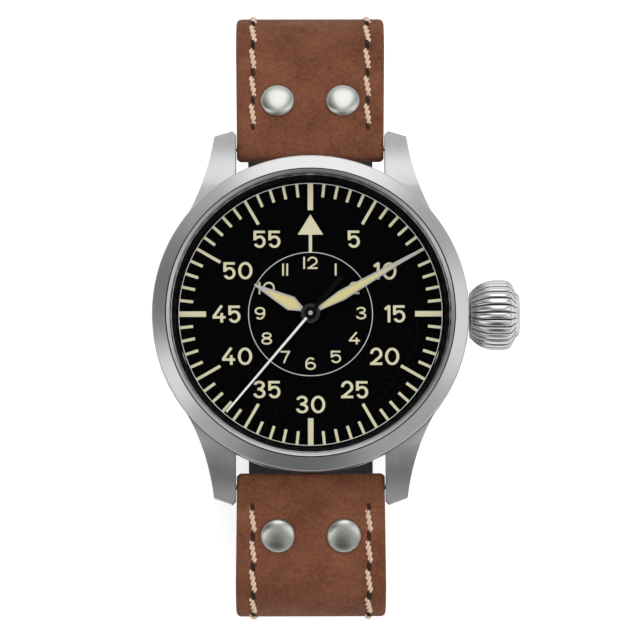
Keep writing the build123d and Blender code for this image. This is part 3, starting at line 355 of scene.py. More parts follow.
def lathed(profile):
    """Turns a closed outline of radii and heights in millimetres about the axis of the hands."""
    form = bmesh.new()
    corners = [form.verts.new((radius * mm, 0, height * mm)) for radius, height in profile]
    sides = [form.edges.new((corner, after)) for corner, after in zip(corners, corners[1:] + corners[:1])]
    bmesh.ops.spin(form, geom=corners + sides, cent=(0, 0, 0), axis=(0, 0, 1), angle=2 * pi,
                   steps=turned_steps, use_merge=True)
    bmesh.ops.recalc_face_normals(form, faces=form.faces)
    return form


form = lathed(bezel_profile)
for face in form.faces:
    middle = face.calc_center_median()
    radius = middle.xy.length / mm
    face.material_index = 1 if radius < bevel_end else 0
    if groove_span[0] < radius < groove_span[1] and middle.z > groove_top * mm:
        face.material_index = 2
smooth(form, turned_angle)
bezel_steel = circled('circular_brushed_steel', bezel_colour, 0.30, 0.75)
bevel_steel = circled('polished_bevel_steel', bevel_colour, 0.34)
# painted shade: a near-black matt finish laid in the bezel's groove and on the ring under its rim, standing for the
# shadow there; its grain varies it at random
painted_shade, base = material('painted_crevice_shade')
shade_grain = grain(base, 3000.0)
surface(base, {'Base Color': tint(base, shade_grain, (0.010, 0.010, 0.010, 1.0), (0.022, 0.022, 0.022, 1.0)),
               'Roughness': 0.7 + 0.2 * shade_grain})
new_piece('bezel_ring', form, 'case', [bezel_steel, bevel_steel, painted_shade], ['bezel'])
# A thin near-black ring under the bezel's rim: painted shadow where the bezel's edge shades the lugs, no real part.
form = lathed(((20.92, 7.5), (21.07, 7.5), (21.07, 7.64), (20.92, 7.64)))
smooth(form)
new_piece('bezel_rim_shadow', form, 'case', [painted_shade])
dress('case_back', circled('case_back_steel', steel_colour, 0.34, 0.6))


# Crystal. A flat sapphire disc with an anti-reflective coat, so that the dial stays black
# under the white tent and only a cool sheen shows at a slant.
glass, base = material('coated_sapphire')
clear = base.node('BsdfTransparent', {}, {'Color': (0.985, 0.99, 0.99, 1.0)})
shine = base.node('BsdfGlossy', {}, {'Color': (0.85, 0.9, 1.0, 1.0), 'Roughness': 0.02})
edge_on = base.node('Fresnel', {}, {'IOR': 1.04})
coat = base.node('MixShader', {}, {0: edge_on, 1: clear, 2: shine})
base.node('OutputMaterial', {}, {'Surface': coat})
dress('crystal', glass)


# Rehaut. The matt black flange between dial and crystal, and above it the narrow lip of
# the seat for the crystal, bright enough to mirror the minute bars faintly.
lip_foot = 9.035
flange_profile = ((17.75, 7.61), (18.42, 9.03), (18.46, 9.05), (18.56, 9.29), (18.57, 7.61))
flange, base = material('black_flange')
specks = grain(base, 2600.0)
surface(base, {'Base Color': tint(base, specks, (0.002, 0.002, 0.0025, 1.0), (0.005, 0.005, 0.0055, 1.0)),
               'Roughness': 0.45 + 0.08 * specks, 'Specular IOR Level': 0.08})
lip_steel = circled('polished_lip_steel', (0.62, 0.62, 0.62, 1.0), 0.3)
form = lathed(flange_profile)
for face in form.faces:
    face.material_index = 1 if face.calc_center_median().z > lip_foot * mm else 0
smooth(form, turned_angle)
new_piece('rehaut_flange', form, 'case', [flange, lip_steel], ['rehaut_ring'])


# Crown. The big onion crown of a pilot's watch: a turned steel bulb with twenty-eight round
# ribs milled along it and a low rounded boss on its end, satin-finished all over, with
# the grooves between the ribs given a dark steel as painted shade.
rib_count = 28
points_per_rib = 12
crown_axis_z = 5.4 * mm
crown_start_x = 21.18 * mm
crown_cap_x = 27.4 * mm
crown_stations = (  # share of the length, radius, depth of the flutes
    (0.0, 3.0, 0.0), (0.012, 3.1, 0.0), (0.03, 3.14, 0.22), (0.08, 3.48, 0.34), (0.16, 3.92, 0.4), (0.25, 4.24, 0.42),
    (0.35, 4.5, 0.42), (0.46, 4.64, 0.42), (0.6, 4.68, 0.42), (0.75, 4.66, 0.42), (0.82, 4.56, 0.44), (0.87, 4.36, 0.5),
    (0.91, 4.04, 0.52), (0.945, 3.62, 0.42), (0.975, 3.2, 0.2), (1.0, 2.95, 0.0))
boss_rings = ((2.86, 0.15), (2.7, 0.3), (2.45, 0.39), (2.1, 0.43))  # radius, height past the cap
groove_share = 0.41  # of half a rib's pitch, beyond which the steel is dark
grooved_part = (0.03, 0.96)
edge_tint = (0.4, 0.4, 0.4, 1.0)
rib_angle = radians(50)


def ringed(form, count, rings):
    """Draws a tube of rings about Z, each a radius and a height, closed at both ends."""
    first = bmesh.ops.create_circle(form, segments=count, radius=rings[0][0], cap_ends=True)['verts']
    bmesh.ops.translate(form, verts=first, vec=(0, 0, rings[0][1]))
    edges = {edge for vert in first for edge in vert.link_edges if len(edge.link_faces) == 1}
    loops = [list(first)]
    for (radius, height), (last, base) in zip(rings[1:], rings):
        grown = bmesh.ops.extrude_edge_only(form, edges=list(edges))['geom']
        verts = [item for item in grown if isinstance(item, bmesh.types.BMVert)]
        edges = {item for item in grown if isinstance(item, bmesh.types.BMEdge)
                 and all(vert in verts for vert in item.verts)}
        bmesh.ops.scale(form, verts=verts, vec=(radius / last, radius / last, 1.0))
        bmesh.ops.translate(form, verts=verts, vec=(0, 0, height - base))
        loops.append(verts)
    bmesh.ops.contextual_create(form, geom=list(edges))
    bmesh.ops.recalc_face_normals(form, faces=form.faces)
    return loops


def across_rib(spot):
    """How far across its rib a place on the crown lies, from -0.5 to 0.5."""
    return (atan2(spot.y, spot.x) / (2 * pi) * rib_count) % 1.0 - 0.5


form = bmesh.new()
span = crown_cap_x - crown_start_x
rings = [(radius * mm, share * span) for share, radius, depth in crown_stations]
rings += [(radius * mm, span + height * mm) for radius, height in boss_rings]
loops = ringed(form, rib_count * points_per_rib, rings)
for loop, (share, radius, depth) in zip(loops, crown_stations):
    for vert in loop:
        place = abs(2 * across_rib(vert.co))
        sunk = depth * mm * (0.3 * place ** 2.5 + 0.7 * place ** 12)
        vert.co.xy *= 1 - sunk / (radius * mm)
# faces deep between the ribs get the dark steel: painted shade in the grooves
for face in form.faces:
    middle = face.calc_center_median()
    if abs(across_rib(middle)) > groove_share and grooved_part[0] < middle.z / span < grooved_part[1]:
        face.material_index = 1
bmesh.ops.rotate(form, verts=form.verts, cent=(0, 0, 0), matrix=Matrix.Rotation(pi / 2, 3, 'Y'))
bmesh.ops.translate(form, verts=form.verts, vec=(crown_start_x, 0, crown_axis_z))
smooth(form, rib_angle)
along_x = (0.05, 1.0, 1.0)
crown_steel = brushed('satin_crown_steel', (0.64, 0.64, 0.64, 1.0), along_x, 0.17, anisotropic=0.0)
# painted shade: a dark steel for the groove floors, standing for the shadow between the ribs
groove_shade_steel = brushed('painted_groove_shade_steel', (0.13, 0.13, 0.13, 1.0), along_x, 0.4, anisotropic=0.0)
for finish in (crown_steel, groove_shade_steel):
    steel = next(node for node in finish.node_tree.nodes if node.type == 'BSDF_PRINCIPLED')
    steel.inputs['Specular Tint'].default_value = edge_tint
new_piece('crown_bulb', form, 'crown', [crown_steel, groove_shade_steel], ['crown'])
seal, base = material('black_seal_rubber')
pores = grain(base, 3000.0)
surface(base, {'Base Color': tint(base, pores, (0.012, 0.012, 0.012, 1.0), (0.03, 0.03, 0.03, 1.0)),
               'Roughness': 0.7 + 0.2 * pores, 'Normal': relief(base, pores, 0.005 * mm)})
dress('crown_gasket', seal)
dress('crown_tube', case_steel)


# Dial. A matt black disc printed in cream: a minute circle with sixty bars hanging from it,
# the numbers of the minutes, the triangle at twelve, and the inner ring of the hours.
dial_face_z = 7.6 * mm
print_lift = 0.03 * mm
minute_ring_r = 17.48 * mm
hour_ring_r = 8.23 * mm
ring_line = 0.095 * mm
bar_sizes = {'minute': (0.38, 1.8), 'five': (0.40, 3.65), 'quarter': (0.73, 3.6)}
outer_type = (2.27, 0.99, 0.165, 0.145)  # height in mm, width share, strokes upright and level
inner_type = (1.62, 1.17, 0.145, 0.14)
outer_places = {'5': (11.55, 60), '10': (11.45, 30), '15': (11.2, 0), '20': (11.35, -30),
                '25': (11.65, -60), '30': (12.05, -90), '35': (11.6, -120), '40': (11.25, -150),
                '45': (11.15, 180), '50': (11.25, 149), '55': (11.55, 120)}
inner_ring = 6.72
inner_rise = 0.1
triangle_foot = 10.6 * mm
triangle_half = 1.7 * mm
triangle_tall = 2.72 * mm
stem_top = 10.8 * mm
stem_wide = 0.43 * mm
layer_step = 0.0015 * mm
ring_steps = 180
sign_gap = 0.16
sign_widths = {'0': 0.84, '1': 0.35, '|': 0.13, '4': 0.77, '7': 0.68, '8': 0.75, '6': 0.74, '9': 0.74}
plain_sign_width = 0.72


def line_stroke(form, start, end, width):
    """One straight stroke of print as a flat strip."""
    made = bmesh.ops.create_grid(form, x_segments=1, y_segments=1, size=0.5)['verts']
    run = Vector(end) - Vector(start)
    bmesh.ops.scale(form, verts=made, vec=(run.length, width, 1))
    bmesh.ops.rotate(form, verts=made, cent=(0, 0, 0), matrix=Matrix.Rotation(atan2(run.y, run.x), 3, 'Z'))
    middle = (Vector(start) + Vector(end)) / 2
    bmesh.ops.translate(form, verts=made, vec=(middle.x, middle.y, 0))
    return made


def arc_stroke(form, radii, start, end, upright, level):
    """One curved stroke of print, part of an oval whose flanks and ends have their own widths."""
    bar = [form.verts.new((reach, 0, 0)) for reach in (1, 2)]
    bmesh.ops.rotate(form, verts=bar, cent=(0, 0, 0), matrix=Matrix.Rotation(radians(start), 3, 'Z'))
    bmesh.ops.spin(form, geom=bar + [form.edges.new(bar)], cent=(0, 0, 0), axis=(0, 0, 1),
                   angle=radians(end - start), steps=8 + int((end - start) / 12), use_merge=end - start >= 360)
    outside = [vert for vert in form.verts if vert.co.length > 1.5]
    inside = [vert for vert in form.verts if vert.co.length <= 1.5]
    bmesh.ops.scale(form, verts=outside, vec=((radii[0] + upright / 2) / 2, (radii[1] + level / 2) / 2, 1))
    bmesh.ops.scale(form, verts=inside, vec=(radii[0] - upright / 2, radii[1] - level / 2, 1))


def glyph(kind, upright, level):
    """The strokes of one numeral, one unit high: lines and oval arcs on their middle lines."""
    w = sign_widths.get(kind, plain_sign_width)
    a, b = upright / 2, level / 2
    rx = w / 2 - a
    if kind == '0':
        return [('arc', (w / 2, 0.5), (rx, 0.51 - b), 0, 360)]
    if kind == '1':
        return [('line', (w - a, 0), (w - a, 1)), ('line', (0.02, 0.76), (w - a, 0.96))]
    if kind == '|':
        return [('line', (a, 0), (a, 1))]
    if kind == '2':
        turn = (w / 2 + rx * cos(radians(-38)), 0.645 + rx * sin(radians(-38)))
        return [('arc', (w / 2, 0.645), (rx, 0.37 - b), -40, 178), ('line', turn, (0.1, b)), ('line', (0, b), (w, b))]
    if kind == '3':
        return [('arc', (w / 2 - 0.01, 0.745), (rx - 0.03, 0.268 - b), -92, 172),
                ('arc', (w / 2, 0.275), (rx, 0.288 - b), -176, 90), ('line', (0.24, 0.52), (0.38, 0.52))]
    if kind == '4':
        return [('line', (0.54, 1.0), (0.04, 0.31)), ('line', (0, 0.31), (w, 0.31)), ('line', (0.54, 0), (0.54, 0.56))]
    if kind == '5':
        return [('line', (0, 1 - b), (0.68, 1 - b)), ('line', (a, 0.44), (a, 1.0)),
                ('arc', (w / 2, 0.35), (rx, 0.365 - b), -155, 132), ('line', (0.04, 0.49), (0.2, 0.59))]
    if kind in '69':
        if kind == '6':
            return [('arc', (w / 2, 0.315), (rx, 0.325 - b), 0, 360),
                    ('arc', (w / 2 + 0.01, 0.5), (rx + 0.01, 0.515 - b), 48, 205)]
        return [('arc', (w / 2, 0.685), (rx, 0.325 - b), 0, 360),
                ('arc', (w / 2 - 0.01, 0.5), (rx + 0.01, 0.515 - b), 228, 385)]
    if kind == '7':
        return [('line', (0, 1 - b), (w, 1 - b)), ('line', (w - a * 0.9, 0.96), (0.42, 0.5)),
                ('line', (0.425, 0.53), (0.24, 0))]
    return [('arc', (w / 2, 0.745), (rx - 0.035, 0.262 - b), 0, 360),
            ('arc', (w / 2, 0.275), (rx, 0.285 - b), 0, 360)]


def stamp(form, shape, matrix):
    """Adds a placed copy of a small form to a piece, and lets the small form go."""
    mesh = bpy.data.meshes.new('stamp')
    shape.to_mesh(mesh)
    shape.free()
    mesh.transform(matrix)
    form.from_mesh(mesh)
    bpy.data.meshes.remove(mesh)


def layer_of_print(layer):
    """The height of a stroke of print, each layer a hair above the last."""
    return Matrix.Translation((0, 0, dial_face_z + print_lift + layer * layer_step))


def print_number(form, text, at, style):
    """Prints a number upright, centred on its place."""
    height, wide, upright, level = style
    widths = [sign_widths.get(sign, plain_sign_width) for sign in text]
    edge = -(sum(widths) + sign_gap * (len(text) - 1)) / 2
    for sign, width in zip(text, widths):
        for layer, (kind, first, second, *angles) in enumerate(glyph(sign, upright / wide, level)):
            shape = bmesh.new()
            if kind == 'line':
                run = Vector(second) - Vector(first)
                line_stroke(shape, first, second, Vector((level * run.x, upright / wide * run.y)).length / run.length)
                spot = (0, 0)
            else:
                arc_stroke(shape, second, *angles, upright / wide, level)
                spot = first
            matrix = Matrix.Translation((at[0] * mm, at[1] * mm, 0))
            matrix @= Matrix.Diagonal((height * wide * mm, height * mm, 1, 1))
            matrix @= Matrix.Translation((edge + spot[0], spot[1] - 0.5, 0))
            stamp(form, shape, layer_of_print(layer) @ matrix)
        edge += width + sign_gap


form = bmesh.new()
for index in range(60):
    kind = 'minute' if index % 5 else 'five' if index % 15 else 'quarter'
    width, length = bar_sizes[kind]
    shape = bmesh.new()
    line_stroke(shape, (minute_ring_r - length * mm, 0), (minute_ring_r, 0), width * mm)
    stamp(form, shape, layer_of_print(1) @ Matrix.Rotation(radians(90 - index * 6), 4, 'Z'))
for radius in (minute_ring_r, hour_ring_r):
    shape = bmesh.new()
    bar = [shape.verts.new((radius + half * ring_line / 2, 0, 0)) for half in (-1, 1)]
    bmesh.ops.spin(shape, geom=bar + [shape.edges.new(bar)], cent=(0, 0, 0), axis=(0, 0, 1),
                   angle=2 * pi, steps=ring_steps, use_merge=True)
    for face in shape.faces:
        face.material_index = 1
    stamp(form, shape, layer_of_print(0))
shape = bmesh.new()
triangle = bmesh.ops.create_circle(shape, segments=3, radius=1.0, cap_ends=True)['verts']
lowest = min(vert.co.y for vert in triangle)
widest = max(vert.co.x for vert in triangle)
tall = max(vert.co.y for vert in triangle) - lowest
bmesh.ops.translate(shape, verts=triangle, vec=(0, -lowest, 0))
bmesh.ops.scale(shape, verts=triangle, vec=(triangle_half / widest, triangle_tall / tall, 1))
stamp(form, shape, layer_of_print(1) @ Matrix.Translation((0, triangle_foot, 0)))
shape = bmesh.new()
line_stroke(shape, (0, hour_ring_r), (0, stem_top), stem_wide)
stamp(form, shape, layer_of_print(2))
for text, (radius, angle) in outer_places.items():
    spot = (radius * cos(radians(angle)), radius * sin(radians(angle)))
    print_number(form, text, spot, outer_type)
for hour in range(1, 13):
    angle = radians(90 - hour * 30)
    text = str(hour).replace('1', '|')
    print_number(form, text, (inner_ring * cos(angle), inner_ring * sin(angle) + inner_rise), inner_type)
for face in form.faces:
    face.normal_update()
    if face.normal.z < 0:
        face.normal_flip()
lume, base = material('cream_luminous_print')
powder = grain(base, 5200.0)
patch = grain(base, 420.0, detail=2.0)
mixed = powder * 0.6 + patch * 0.4
surface(base, {'Base Color': tint(base, mixed, (0.60, 0.55, 0.36, 1.0), (0.74, 0.69, 0.48, 1.0)),
               'Roughness': 0.75 + 0.15 * powder, 'Normal': relief(base, powder, 0.006 * mm)})
ink, base = material('white_print')
powder = grain(base, 5200.0)
surface(base, {'Base Color': tint(base, powder, (0.54, 0.54, 0.53, 1.0), (0.70, 0.70, 0.69, 1.0)),
               'Roughness': 0.6 + 0.15 * powder})
new_piece('dial_print', form, 'case', [lume, ink], ['dial_markers'])
matt_black, base = material('matt_black_dial')
dust = grain(base, 3400.0)
surface(base, {'Base Color': tint(base, dust, (0.0006, 0.0006, 0.0008, 1.0), (0.0014, 0.0014, 0.0016, 1.0)),
               'Roughness': 0.75 + 0.15 * dust, 'Specular IOR Level': 0.02,
               'Normal': relief(base, dust, 0.003 * mm)})
dress('dial', matt_black)


# Hands. Two stamped steel swords, their channels filled with yellower lume, and a white
# needle for the seconds with a black tail and hub and a small pin in its middle, its hollow
# shown by a black disc of painted shade.
hand_steel = brushed('satin_hand_steel', (0.60, 0.585, 0.585, 1.0), (0.2, 1.0, 1.0), 0.32,
                     scale=2400.0, bump=0.002 * mm)
hour_edge = 0.035 * mm
minute_edge = 0.03 * mm
eased('hour_hand', 'hours', hand_steel, hour_edge)
eased('minute_hand', 'minutes', hand_steel, minute_edge)
hand_fill, base = material('hand_lume_fill')
powder = grain(base, 4800.0)
surface(base, {'Base Color': tint(base, powder, (0.60, 0.51, 0.22, 1.0), (0.74, 0.65, 0.32, 1.0)),
               'Roughness': 0.72 + 0.15 * powder, 'Normal': relief(base, powder, 0.008 * mm)})
dress('hour_lume', hand_fill)
dress('minute_lume', hand_fill)
seconds_z = 8.8 * mm
seconds_thick = 0.16 * mm
seconds_angle = radians(-220.35)
seconds_bars = ((0, 17.2, 0.17, 0.12, 0), (-6.35, 0, 0.33, 0.22, 1))  # ends, half-widths there, paint
# the last, smallest drum is a black disc on the pin's top: painted shade standing for its hollow bore
seconds_drums = (  # radius, foot and top from the needle's top, paint, rim, sides
    (1.29, -0.17, -0.05, 3, 0.2, 48), (0.8, -0.1, 0.2, 1, 0.3, 48),
    (0.3, 0.15, 0.26, 2, 0.4, 32), (0.1, 0.2, 0.265, 1, 0.2, 16))


def lacquer(name, dark, light, rough, shine=0.5):
    """A thin coat of paint with a fine orange peel."""
    made, base = material(name)
    peel = grain(base, 3800.0, detail=2.0)
    surface(base, {'Base Color': tint(base, peel, dark, light), 'Roughness': rough + 0.1 * peel,
                   'Specular IOR Level': shine, 'Normal': relief(base, peel, 0.002 * mm)})
    return made


white_paint = lacquer('white_hand_lacquer', (0.72, 0.72, 0.68, 1.0), (0.86, 0.86, 0.82, 1.0), 0.35)
black_paint = lacquer('black_hand_lacquer', (0.001, 0.001, 0.001, 1.0), (0.003, 0.003, 0.003, 1.0), 0.3, 0.05)
hub_paint = lacquer('dark_hub_lacquer', (0.006, 0.006, 0.007, 1.0), (0.012, 0.012, 0.013, 1.0), 0.35, 0.3)
pin_steel = brushed('pin_steel', (0.85, 0.83, 0.70, 1.0), even, 0.25, bump=0.001 * mm)


def tapered(form, y0, y1, half0, half1, z0, z1, paint):
    """A flat bar that narrows from one end to the other."""
    made = bmesh.ops.create_cube(form, size=1.0)['verts']
    for vert in made:
        far = vert.co.y > 0
        half = half1 if far else half0
        vert.co = Vector((half if vert.co.x > 0 else -half, y1 if far else y0, z1 if vert.co.z > 0 else z0))
    for face in {face for vert in made for face in vert.link_faces}:
        face.material_index = paint


def drum(form, radius, z0, z1, paint, soft, count):
    """A small round boss with an eased rim."""
    before = set(form.faces)
    inset = min(radius, z1 - z0) * soft
    ringed(form, count, [(radius, z0), (radius, z1 - inset), (radius - inset, z1)])
    for face in form.faces:
        if face not in before:
            face.material_index = paint


form = bmesh.new()
seconds_top = seconds_z + seconds_thick
for y0, y1, half0, half1, paint in seconds_bars:
    tapered(form, y0 * mm, y1 * mm, half0 * mm, half1 * mm, seconds_z, seconds_top, paint)
for radius, foot, rise, paint, soft, count in seconds_drums:
    drum(form, radius * mm, seconds_top + foot * mm, seconds_top + rise * mm, paint, soft, count)
bmesh.ops.rotate(form, verts=form.verts, cent=(0, 0, 0), matrix=Matrix.Rotation(seconds_angle, 3, 'Z'))
smooth(form)
new_piece('seconds_needle', form, 'seconds', [white_paint, black_paint, pin_steel, hub_paint],
          ['seconds_hand'])


# Movement. Closed in by the case back: gilt brass wheels and plates, finely grained,
# polished steel pinions, levers and keyless work, and blued springs.
def metal_of(name, colour, rough, scale, anisotropic=0.0):
    """The finely grained metal of a movement part."""
    return brushed(name, colour, (1.0, 0.08, 1.0), rough, scale=scale, anisotropic=anisotropic, bump=0.003 * mm)


gilt = metal_of('gilt_brass', (0.72, 0.58, 0.32, 1.0), 0.32, 1800.0, 0.3)
polished = metal_of('polished_movement_steel', (0.66, 0.66, 0.67, 1.0), 0.16, 2600.0)
blued = metal_of('blued_spring_steel', (0.10, 0.15, 0.34, 1.0), 0.24, 2600.0)
for node in ('main_plate', 'barrel', 'setting_wheel', 'minute_wheel', 'hour_wheel', 'centre_wheel',
             'third_wheel', 'fourth_wheel', 'escape_wheel', 'balance_wheel', 'balance_cock',
             'train_bridge', 'barrel_bridge'):
    dress(node, gilt)
for node in ('barrel_arbor', 'ratchet_wheel', 'crown_wheel', 'click', 'winding_stem', 'winding_pinion',
             'clutch_pinion', 'setting_lever', 'yoke', 'cannon_pinion', 'pallet_fork'):
    dress(node, polished)
for node in ('mainspring', 'hairspring'):
    dress(node, blued)


# Strap. Two parts of thick brown nubuck on a charcoal lining, their upper edges rounded
# over, rolled round the spring bars and closed behind the case through a pin buckle.
strap_edge = 0.62 * mm
lining_edge = 0.25 * mm
keeper_edge = 0.3 * mm


def stretched(base, noise, low=0.32, high=0.68):
    """Noise with its middle drawn out to the full range from 0 to 1."""
    return base.node('MapRange', {}, {'Value': noise, 'From Min': low, 'From Max': high})


def nubuck(name, deep, mean, pale):
    """Buffed leather: soft clouds of shade, a short fine nap and a few paler rubbed places."""
    made, base = material(name)
    cloud = stretched(base, grain(base, 210.0, detail=6.0))
    mottle = stretched(base, grain(base, 2100.0, detail=5.0))
    nap = stretched(base, grain(base, 5200.0, detail=3.0))
    scuff = grain(base, 130.0, (1.0, 2.6, 1.0), 8.0, (0.3, 0.2, 0.7))
    shade = tint(base, cloud * 0.5 + mottle * 0.5, deep, mean)
    rubbed = stretched(base, scuff, 0.56, 0.72)
    shade = tint(base, rubbed * 0.45, shade, pale)
    shade = tint(base, nap * 0.55, shade, deep)
    height = nap * 0.7 + mottle * 0.5
    surface(base, {'Base Color': shade, 'Roughness': 0.80 + 0.14 * nap, 'Sheen Weight': 0.04,
                   'Sheen Roughness': 0.6, 'Specular IOR Level': 0.12,
                   'Normal': relief(base, height, 0.06 * mm)})
    return made


brown = nubuck('brown_nubuck', (0.100, 0.034, 0.017, 1.0), (0.300, 0.113, 0.060, 1.0),
               (0.380, 0.170, 0.095, 1.0))
charcoal = nubuck('charcoal_lining', (0.018, 0.022, 0.024, 1.0), (0.034, 0.040, 0.044, 1.0),
                  (0.06, 0.066, 0.07, 1.0))
bar_y = 22.8 * mm
bar_z = 2.9 * mm
roll_r = 2.1 * mm
roll_shell = (0.72 * roll_r, 1.1 * roll_r)
roll_squareness = 6.0
roll_reach = 0.87
broad_start_y = 24 * mm
broad_foot_z = -32 * mm
broad_run = 12 * mm
broad_share = 0.02
eased_down_to = -27 * mm
edge_x = 8.2 * mm
edge_drift = 0.5 * mm


def share_of(value, run):
    """How far along a run a value is, from 0 to 1."""
    return min(max(value / run, 0.0), 1.0)


def squared_roll(form):
    """Flattens the roll round the spring bar to a straight edge and keeps the strap's top broad."""
    for vert in form.verts:
        outward = share_of(abs(vert.co.y) - broad_start_y, broad_run) * share_of(vert.co.z - broad_foot_z, broad_run)
        vert.co.x *= 1 + broad_share * outward
        into, up = bar_y - abs(vert.co.y), vert.co.z - bar_z
        if into <= 0 or not roll_shell[0] <= hypot(into, up) <= roll_shell[1]:
            continue
        bulge = 1.0
        if up > 0:
            across, rise = into / roll_r, up / roll_r
            squared = (across ** roll_squareness + rise ** roll_squareness) ** (1 / roll_squareness)
            bulge = hypot(across, rise) / squared
        vert.co.y += (1 if vert.co.y < 0 else -1) * into * (bulge * roll_reach - 1)
        vert.co.z += up * (bulge - 1)


def long_edge(edge):
    """Whether an edge runs along the strap's side, above the fold where its tail begins."""
    one, other = (vert.co for vert in edge.verts)
    if min(one.z, other.z) < eased_down_to:
        return False
    return min(abs(one.x), abs(other.x)) > edge_x and abs(one.x - other.x) < edge_drift


for node in ('strap_12_leather', 'strap_6_leather'):
    eased(node, 'case', brown, strap_edge, segments=4, shape=squared_roll, chosen=long_edge)
for node in ('strap_12_lining', 'strap_6_lining'):
    eased(node, 'case', charcoal, lining_edge)
eased('fixed_keeper', 'case', brown, keeper_edge, segments=3)
eased('free_keeper', 'free_keeper', brown, keeper_edge, segments=3)


# Stitching. A row of waxed two-ply cream thread along each edge, every stitch a short
# twisted piece that slants across the row and dips at both ends, where a dark slit of
# painted shade stands for the pricked hole.
stitch_pitch = 4.1 * mm
stitch_half = 1.72 * mm
stitch_slant = radians(9)
strand_r = 0.22 * mm
strand_sides = 8
twist_r = 0.18 * mm
twist_angle = radians(780)
twist_steps = 22
thread_lift = 0.03 * mm
end_narrowing = 0.35
end_dip = 0.5 * mm
prick_r = 0.3 * mm
prick_shape = (1.7, 0.95, 0.16)
prick_place = 1.1
row_inset = 2.12 * mm
strap_half = 9.85 * mm
strap_tail_half = 9.0 * mm
taper_top_z = -3 * mm
taper_run = 33 * mm
loop_centre = Vector((0, 0, -21 * mm))
ray_start = 70 * mm
mean_reach = 30 * mm
facing_least = 0.25
ray_step = 0.125
row_gap = 2 * mm
thread_angle = radians(80)
rows = (  # strap part, first angle, way round, number of rays, distance off the axis of the first stitch
    ('strap_12_leather', 52, -1, 1060, 25.7 * mm), ('strap_6_leather', 128, 1, 1540, 25.6 * mm))


def outer_face(node):
    """The strap part as a tree that rays can be cast at, to find its outer face."""
    form = merged(node)
    tree = BVHTree.FromBMesh(form)
    form.free()
    return tree


def half_width(z):
    """Half the strap's width at a height: it narrows towards its tail."""
    return strap_half + (strap_tail_half - strap_half) * share_of(taper_top_z - z, taper_run)


def row(tree, angles, side):
    """Points with their normals along one edge of a strap part, less than 0.1 mm apart."""
    found = []
    for angle in angles:
        way = Vector((0, cos(radians(angle)), sin(radians(angle))))
        probe = loop_centre + way * ray_start
        across = side * (half_width((loop_centre + way * mean_reach).z) - row_inset)
        hit, normal, index, distance = tree.ray_cast(Vector((across, probe.y, probe.z)), -way)
        if hit is None or (hit - loop_centre).dot(way) < 0:
            continue
        across = side * (half_width(hit.z) - row_inset)
        if normal.dot(way) > facing_least:
            found.append((Vector((across, hit.y, hit.z)), normal.normalized()))
    return found


def thread():
    """One stitch: two strands wound round each other, its ends dipping into the leather."""
    form = bmesh.new()
    for strand in (0, 1):
        ring = bmesh.ops.create_circle(form, segments=strand_sides, radius=strand_r)['verts']
        edges = list({edge for vert in ring for edge in vert.link_edges})
        bmesh.ops.rotate(form, verts=ring, cent=(0, 0, 0), matrix=Matrix.Rotation(pi / 2, 3, 'Y'))
        bmesh.ops.translate(form, verts=ring, vec=(-stitch_half, 0, twist_r * (1 - 2 * strand)))
        bmesh.ops.spin(form, geom=ring + edges, cent=(0, 0, 0), axis=(1, 0, 0), angle=twist_angle,
                       steps=twist_steps, dvec=(2 * stitch_half / twist_steps, 0, 0))
    for vert in form.verts:
        reach = (abs(vert.co.x) / stitch_half) ** 4
        vert.co.y *= 1 - end_narrowing * reach
        vert.co.z = vert.co.z * (1 - end_narrowing * reach) + thread_lift - end_dip * reach
    return form


def prick():
    """A dark slanted slit where a stitch goes into the leather: painted shade standing for the pricked hole."""
    form = bmesh.new()
    bmesh.ops.create_uvsphere(form, u_segments=10, v_segments=6, radius=prick_r)
    bmesh.ops.scale(form, verts=form.verts, vec=prick_shape)
    return form


stitches, slits = bmesh.new(), bmesh.new()
for node, first_angle, turning, count, first_y in rows:
    tree = outer_face(node)
    for side in (-1, 1):
        line = row(tree, [first_angle + turning * step * ray_step for step in range(count)], side)
        travelled, next_at, started = 0.0, 0.0, False
        for (here, normal), (there, other) in zip(line, line[1:]):
            step = (there - here).length
            if step > row_gap:
                break
            if not started and abs(here.y) < first_y:
                continue
            if not started:
                started, next_at = True, travelled + stitch_half
            travelled += step
            if travelled >= next_at and step > 0:
                way = (there - here).normalized()
                way = (way - normal * way.dot(normal)).normalized()
                slant = -turning * stitch_slant * (1 if way.cross(normal).x > 0 else -1)
                pose = Matrix((way, normal.cross(way).normalized(), normal)).transposed().to_4x4()
                stamp(stitches, thread(), Matrix.Translation(here) @ pose @ Matrix.Rotation(slant, 4, 'Z'))
                for end in (-1, 1):
                    spot = Matrix.Translation(here + way * end * stitch_half * prick_place)
                    stamp(slits, prick(), spot @ pose @ Matrix.Rotation(2 * slant, 4, 'Z'))
                next_at += stitch_pitch
smooth(stitches, thread_angle)
smooth(slits, thread_angle)
bmesh.ops.recalc_face_normals(stitches, faces=stitches.faces)
waxed, base = material('waxed_cream_thread')
fibre = grain(base, 5200.0, detail=3.0)
surface(base, {'Base Color': tint(base, fibre, (0.54, 0.34, 0.22, 1.0), (0.90, 0.72, 0.55, 1.0)),
               'Roughness': 0.55 + 0.25 * fibre, 'Sheen Weight': 0.2, 'Normal': relief(base, fibre, 0.02 * mm)})
new_piece('stitching', stitches, 'case', [waxed])
# painted shade: a near-black brown for the slits at the stitches' ends, standing for the shadow in the pricked holes
hole_shade_finish, base = material('painted_stitch_hole_shade')
fibre = grain(base, 4000.0, detail=3.0)
surface(base, {'Base Color': tint(base, fibre, (0.012, 0.005, 0.003, 1.0), (0.035, 0.014, 0.008, 1.0)),
               'Roughness': 0.9 + 0.05 * fibre})
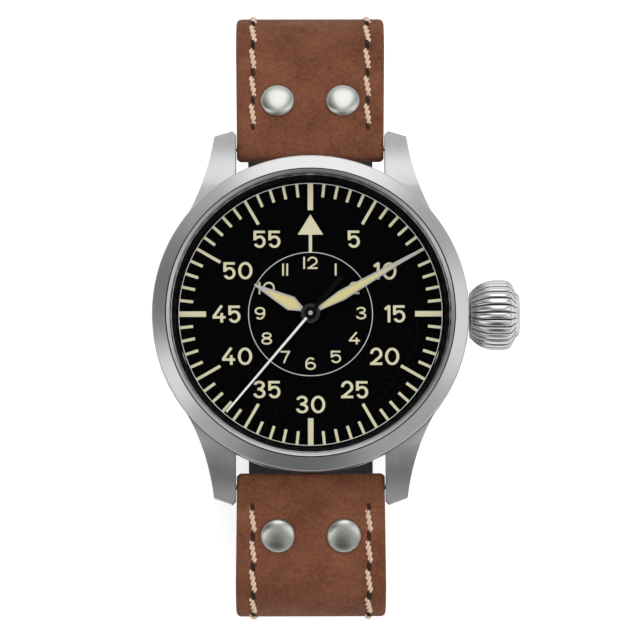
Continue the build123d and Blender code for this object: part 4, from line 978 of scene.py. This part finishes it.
new_piece('stitch_hole_shades', slits, 'case', [hole_shade_finish])


# Rivets. Four domed steel heads, satin brushed straight across, two through each strap
# part beyond the lugs, with their shanks and the flat washers behind the lining.
rivet_distance = 29.25 * mm
rivet_half_spacing = 4.4 * mm
rivet_sides = 56
rivet_angle = radians(60)
ray_top = 20 * mm
dome_profile = (  # radius and height above the leather, from the washer up to the crown of the dome
    (1.4, -3.42), (1.45, -3.3), (1.4, -3.2), (0.8, -3.18), (0.8, -0.03), (2.27, -0.02), (2.31, 0.13),
    (2.24, 0.27), (1.98, 0.46), (1.55, 0.62), (1.0, 0.7), (0.5, 0.74), (0.12, 0.75))
rivet_steel = brushed('satin_rivet_steel', (0.50, 0.51, 0.48, 1.0), (0.04, 1.0, 1.0), 0.24,
                      scale=2200.0, anisotropic=0.0, bump=0.012 * mm)
form = bmesh.new()
for node, side in (('strap_12_leather', 1), ('strap_6_leather', -1)):
    tree = outer_face(node)
    hit, normal, index, distance = tree.ray_cast(Vector((0, side * rivet_distance, ray_top)), Vector((0, 0, -1)))
    for x in (-rivet_half_spacing, rivet_half_spacing):
        loops = ringed(form, rivet_sides, [(radius * mm, height * mm) for radius, height in dome_profile])
        turn_to = Vector((0, 0, 1)).rotation_difference(normal).to_matrix().to_4x4()
        matrix = Matrix.Translation((x, hit.y, hit.z)) @ turn_to
        bmesh.ops.transform(form, matrix=matrix, verts=[vert for loop in loops for vert in loop])
smooth(form, rivet_angle)
new_piece('rivet_heads', form, 'case', [rivet_steel], ['strap_rivets'])


# Spring bars and buckle. Steel tubes with sprung pins hold the strap in the lugs; a forged
# frame, its prong and their bar close it, satin all over with softened edges.
frame_edge = 0.25 * mm
prong_edge = 0.2 * mm
for node in ('spring_bar_12', 'spring_bar_6', 'pin_12_left', 'pin_12_right', 'pin_6_left', 'pin_6_right',
             'buckle_bar'):
    dress(node, polished)
eased('buckle_frame', 'buckle_frame', rivet_steel, frame_edge, segments=3)
eased('buckle_prong', 'buckle_prong', rivet_steel, prong_edge, segments=3)
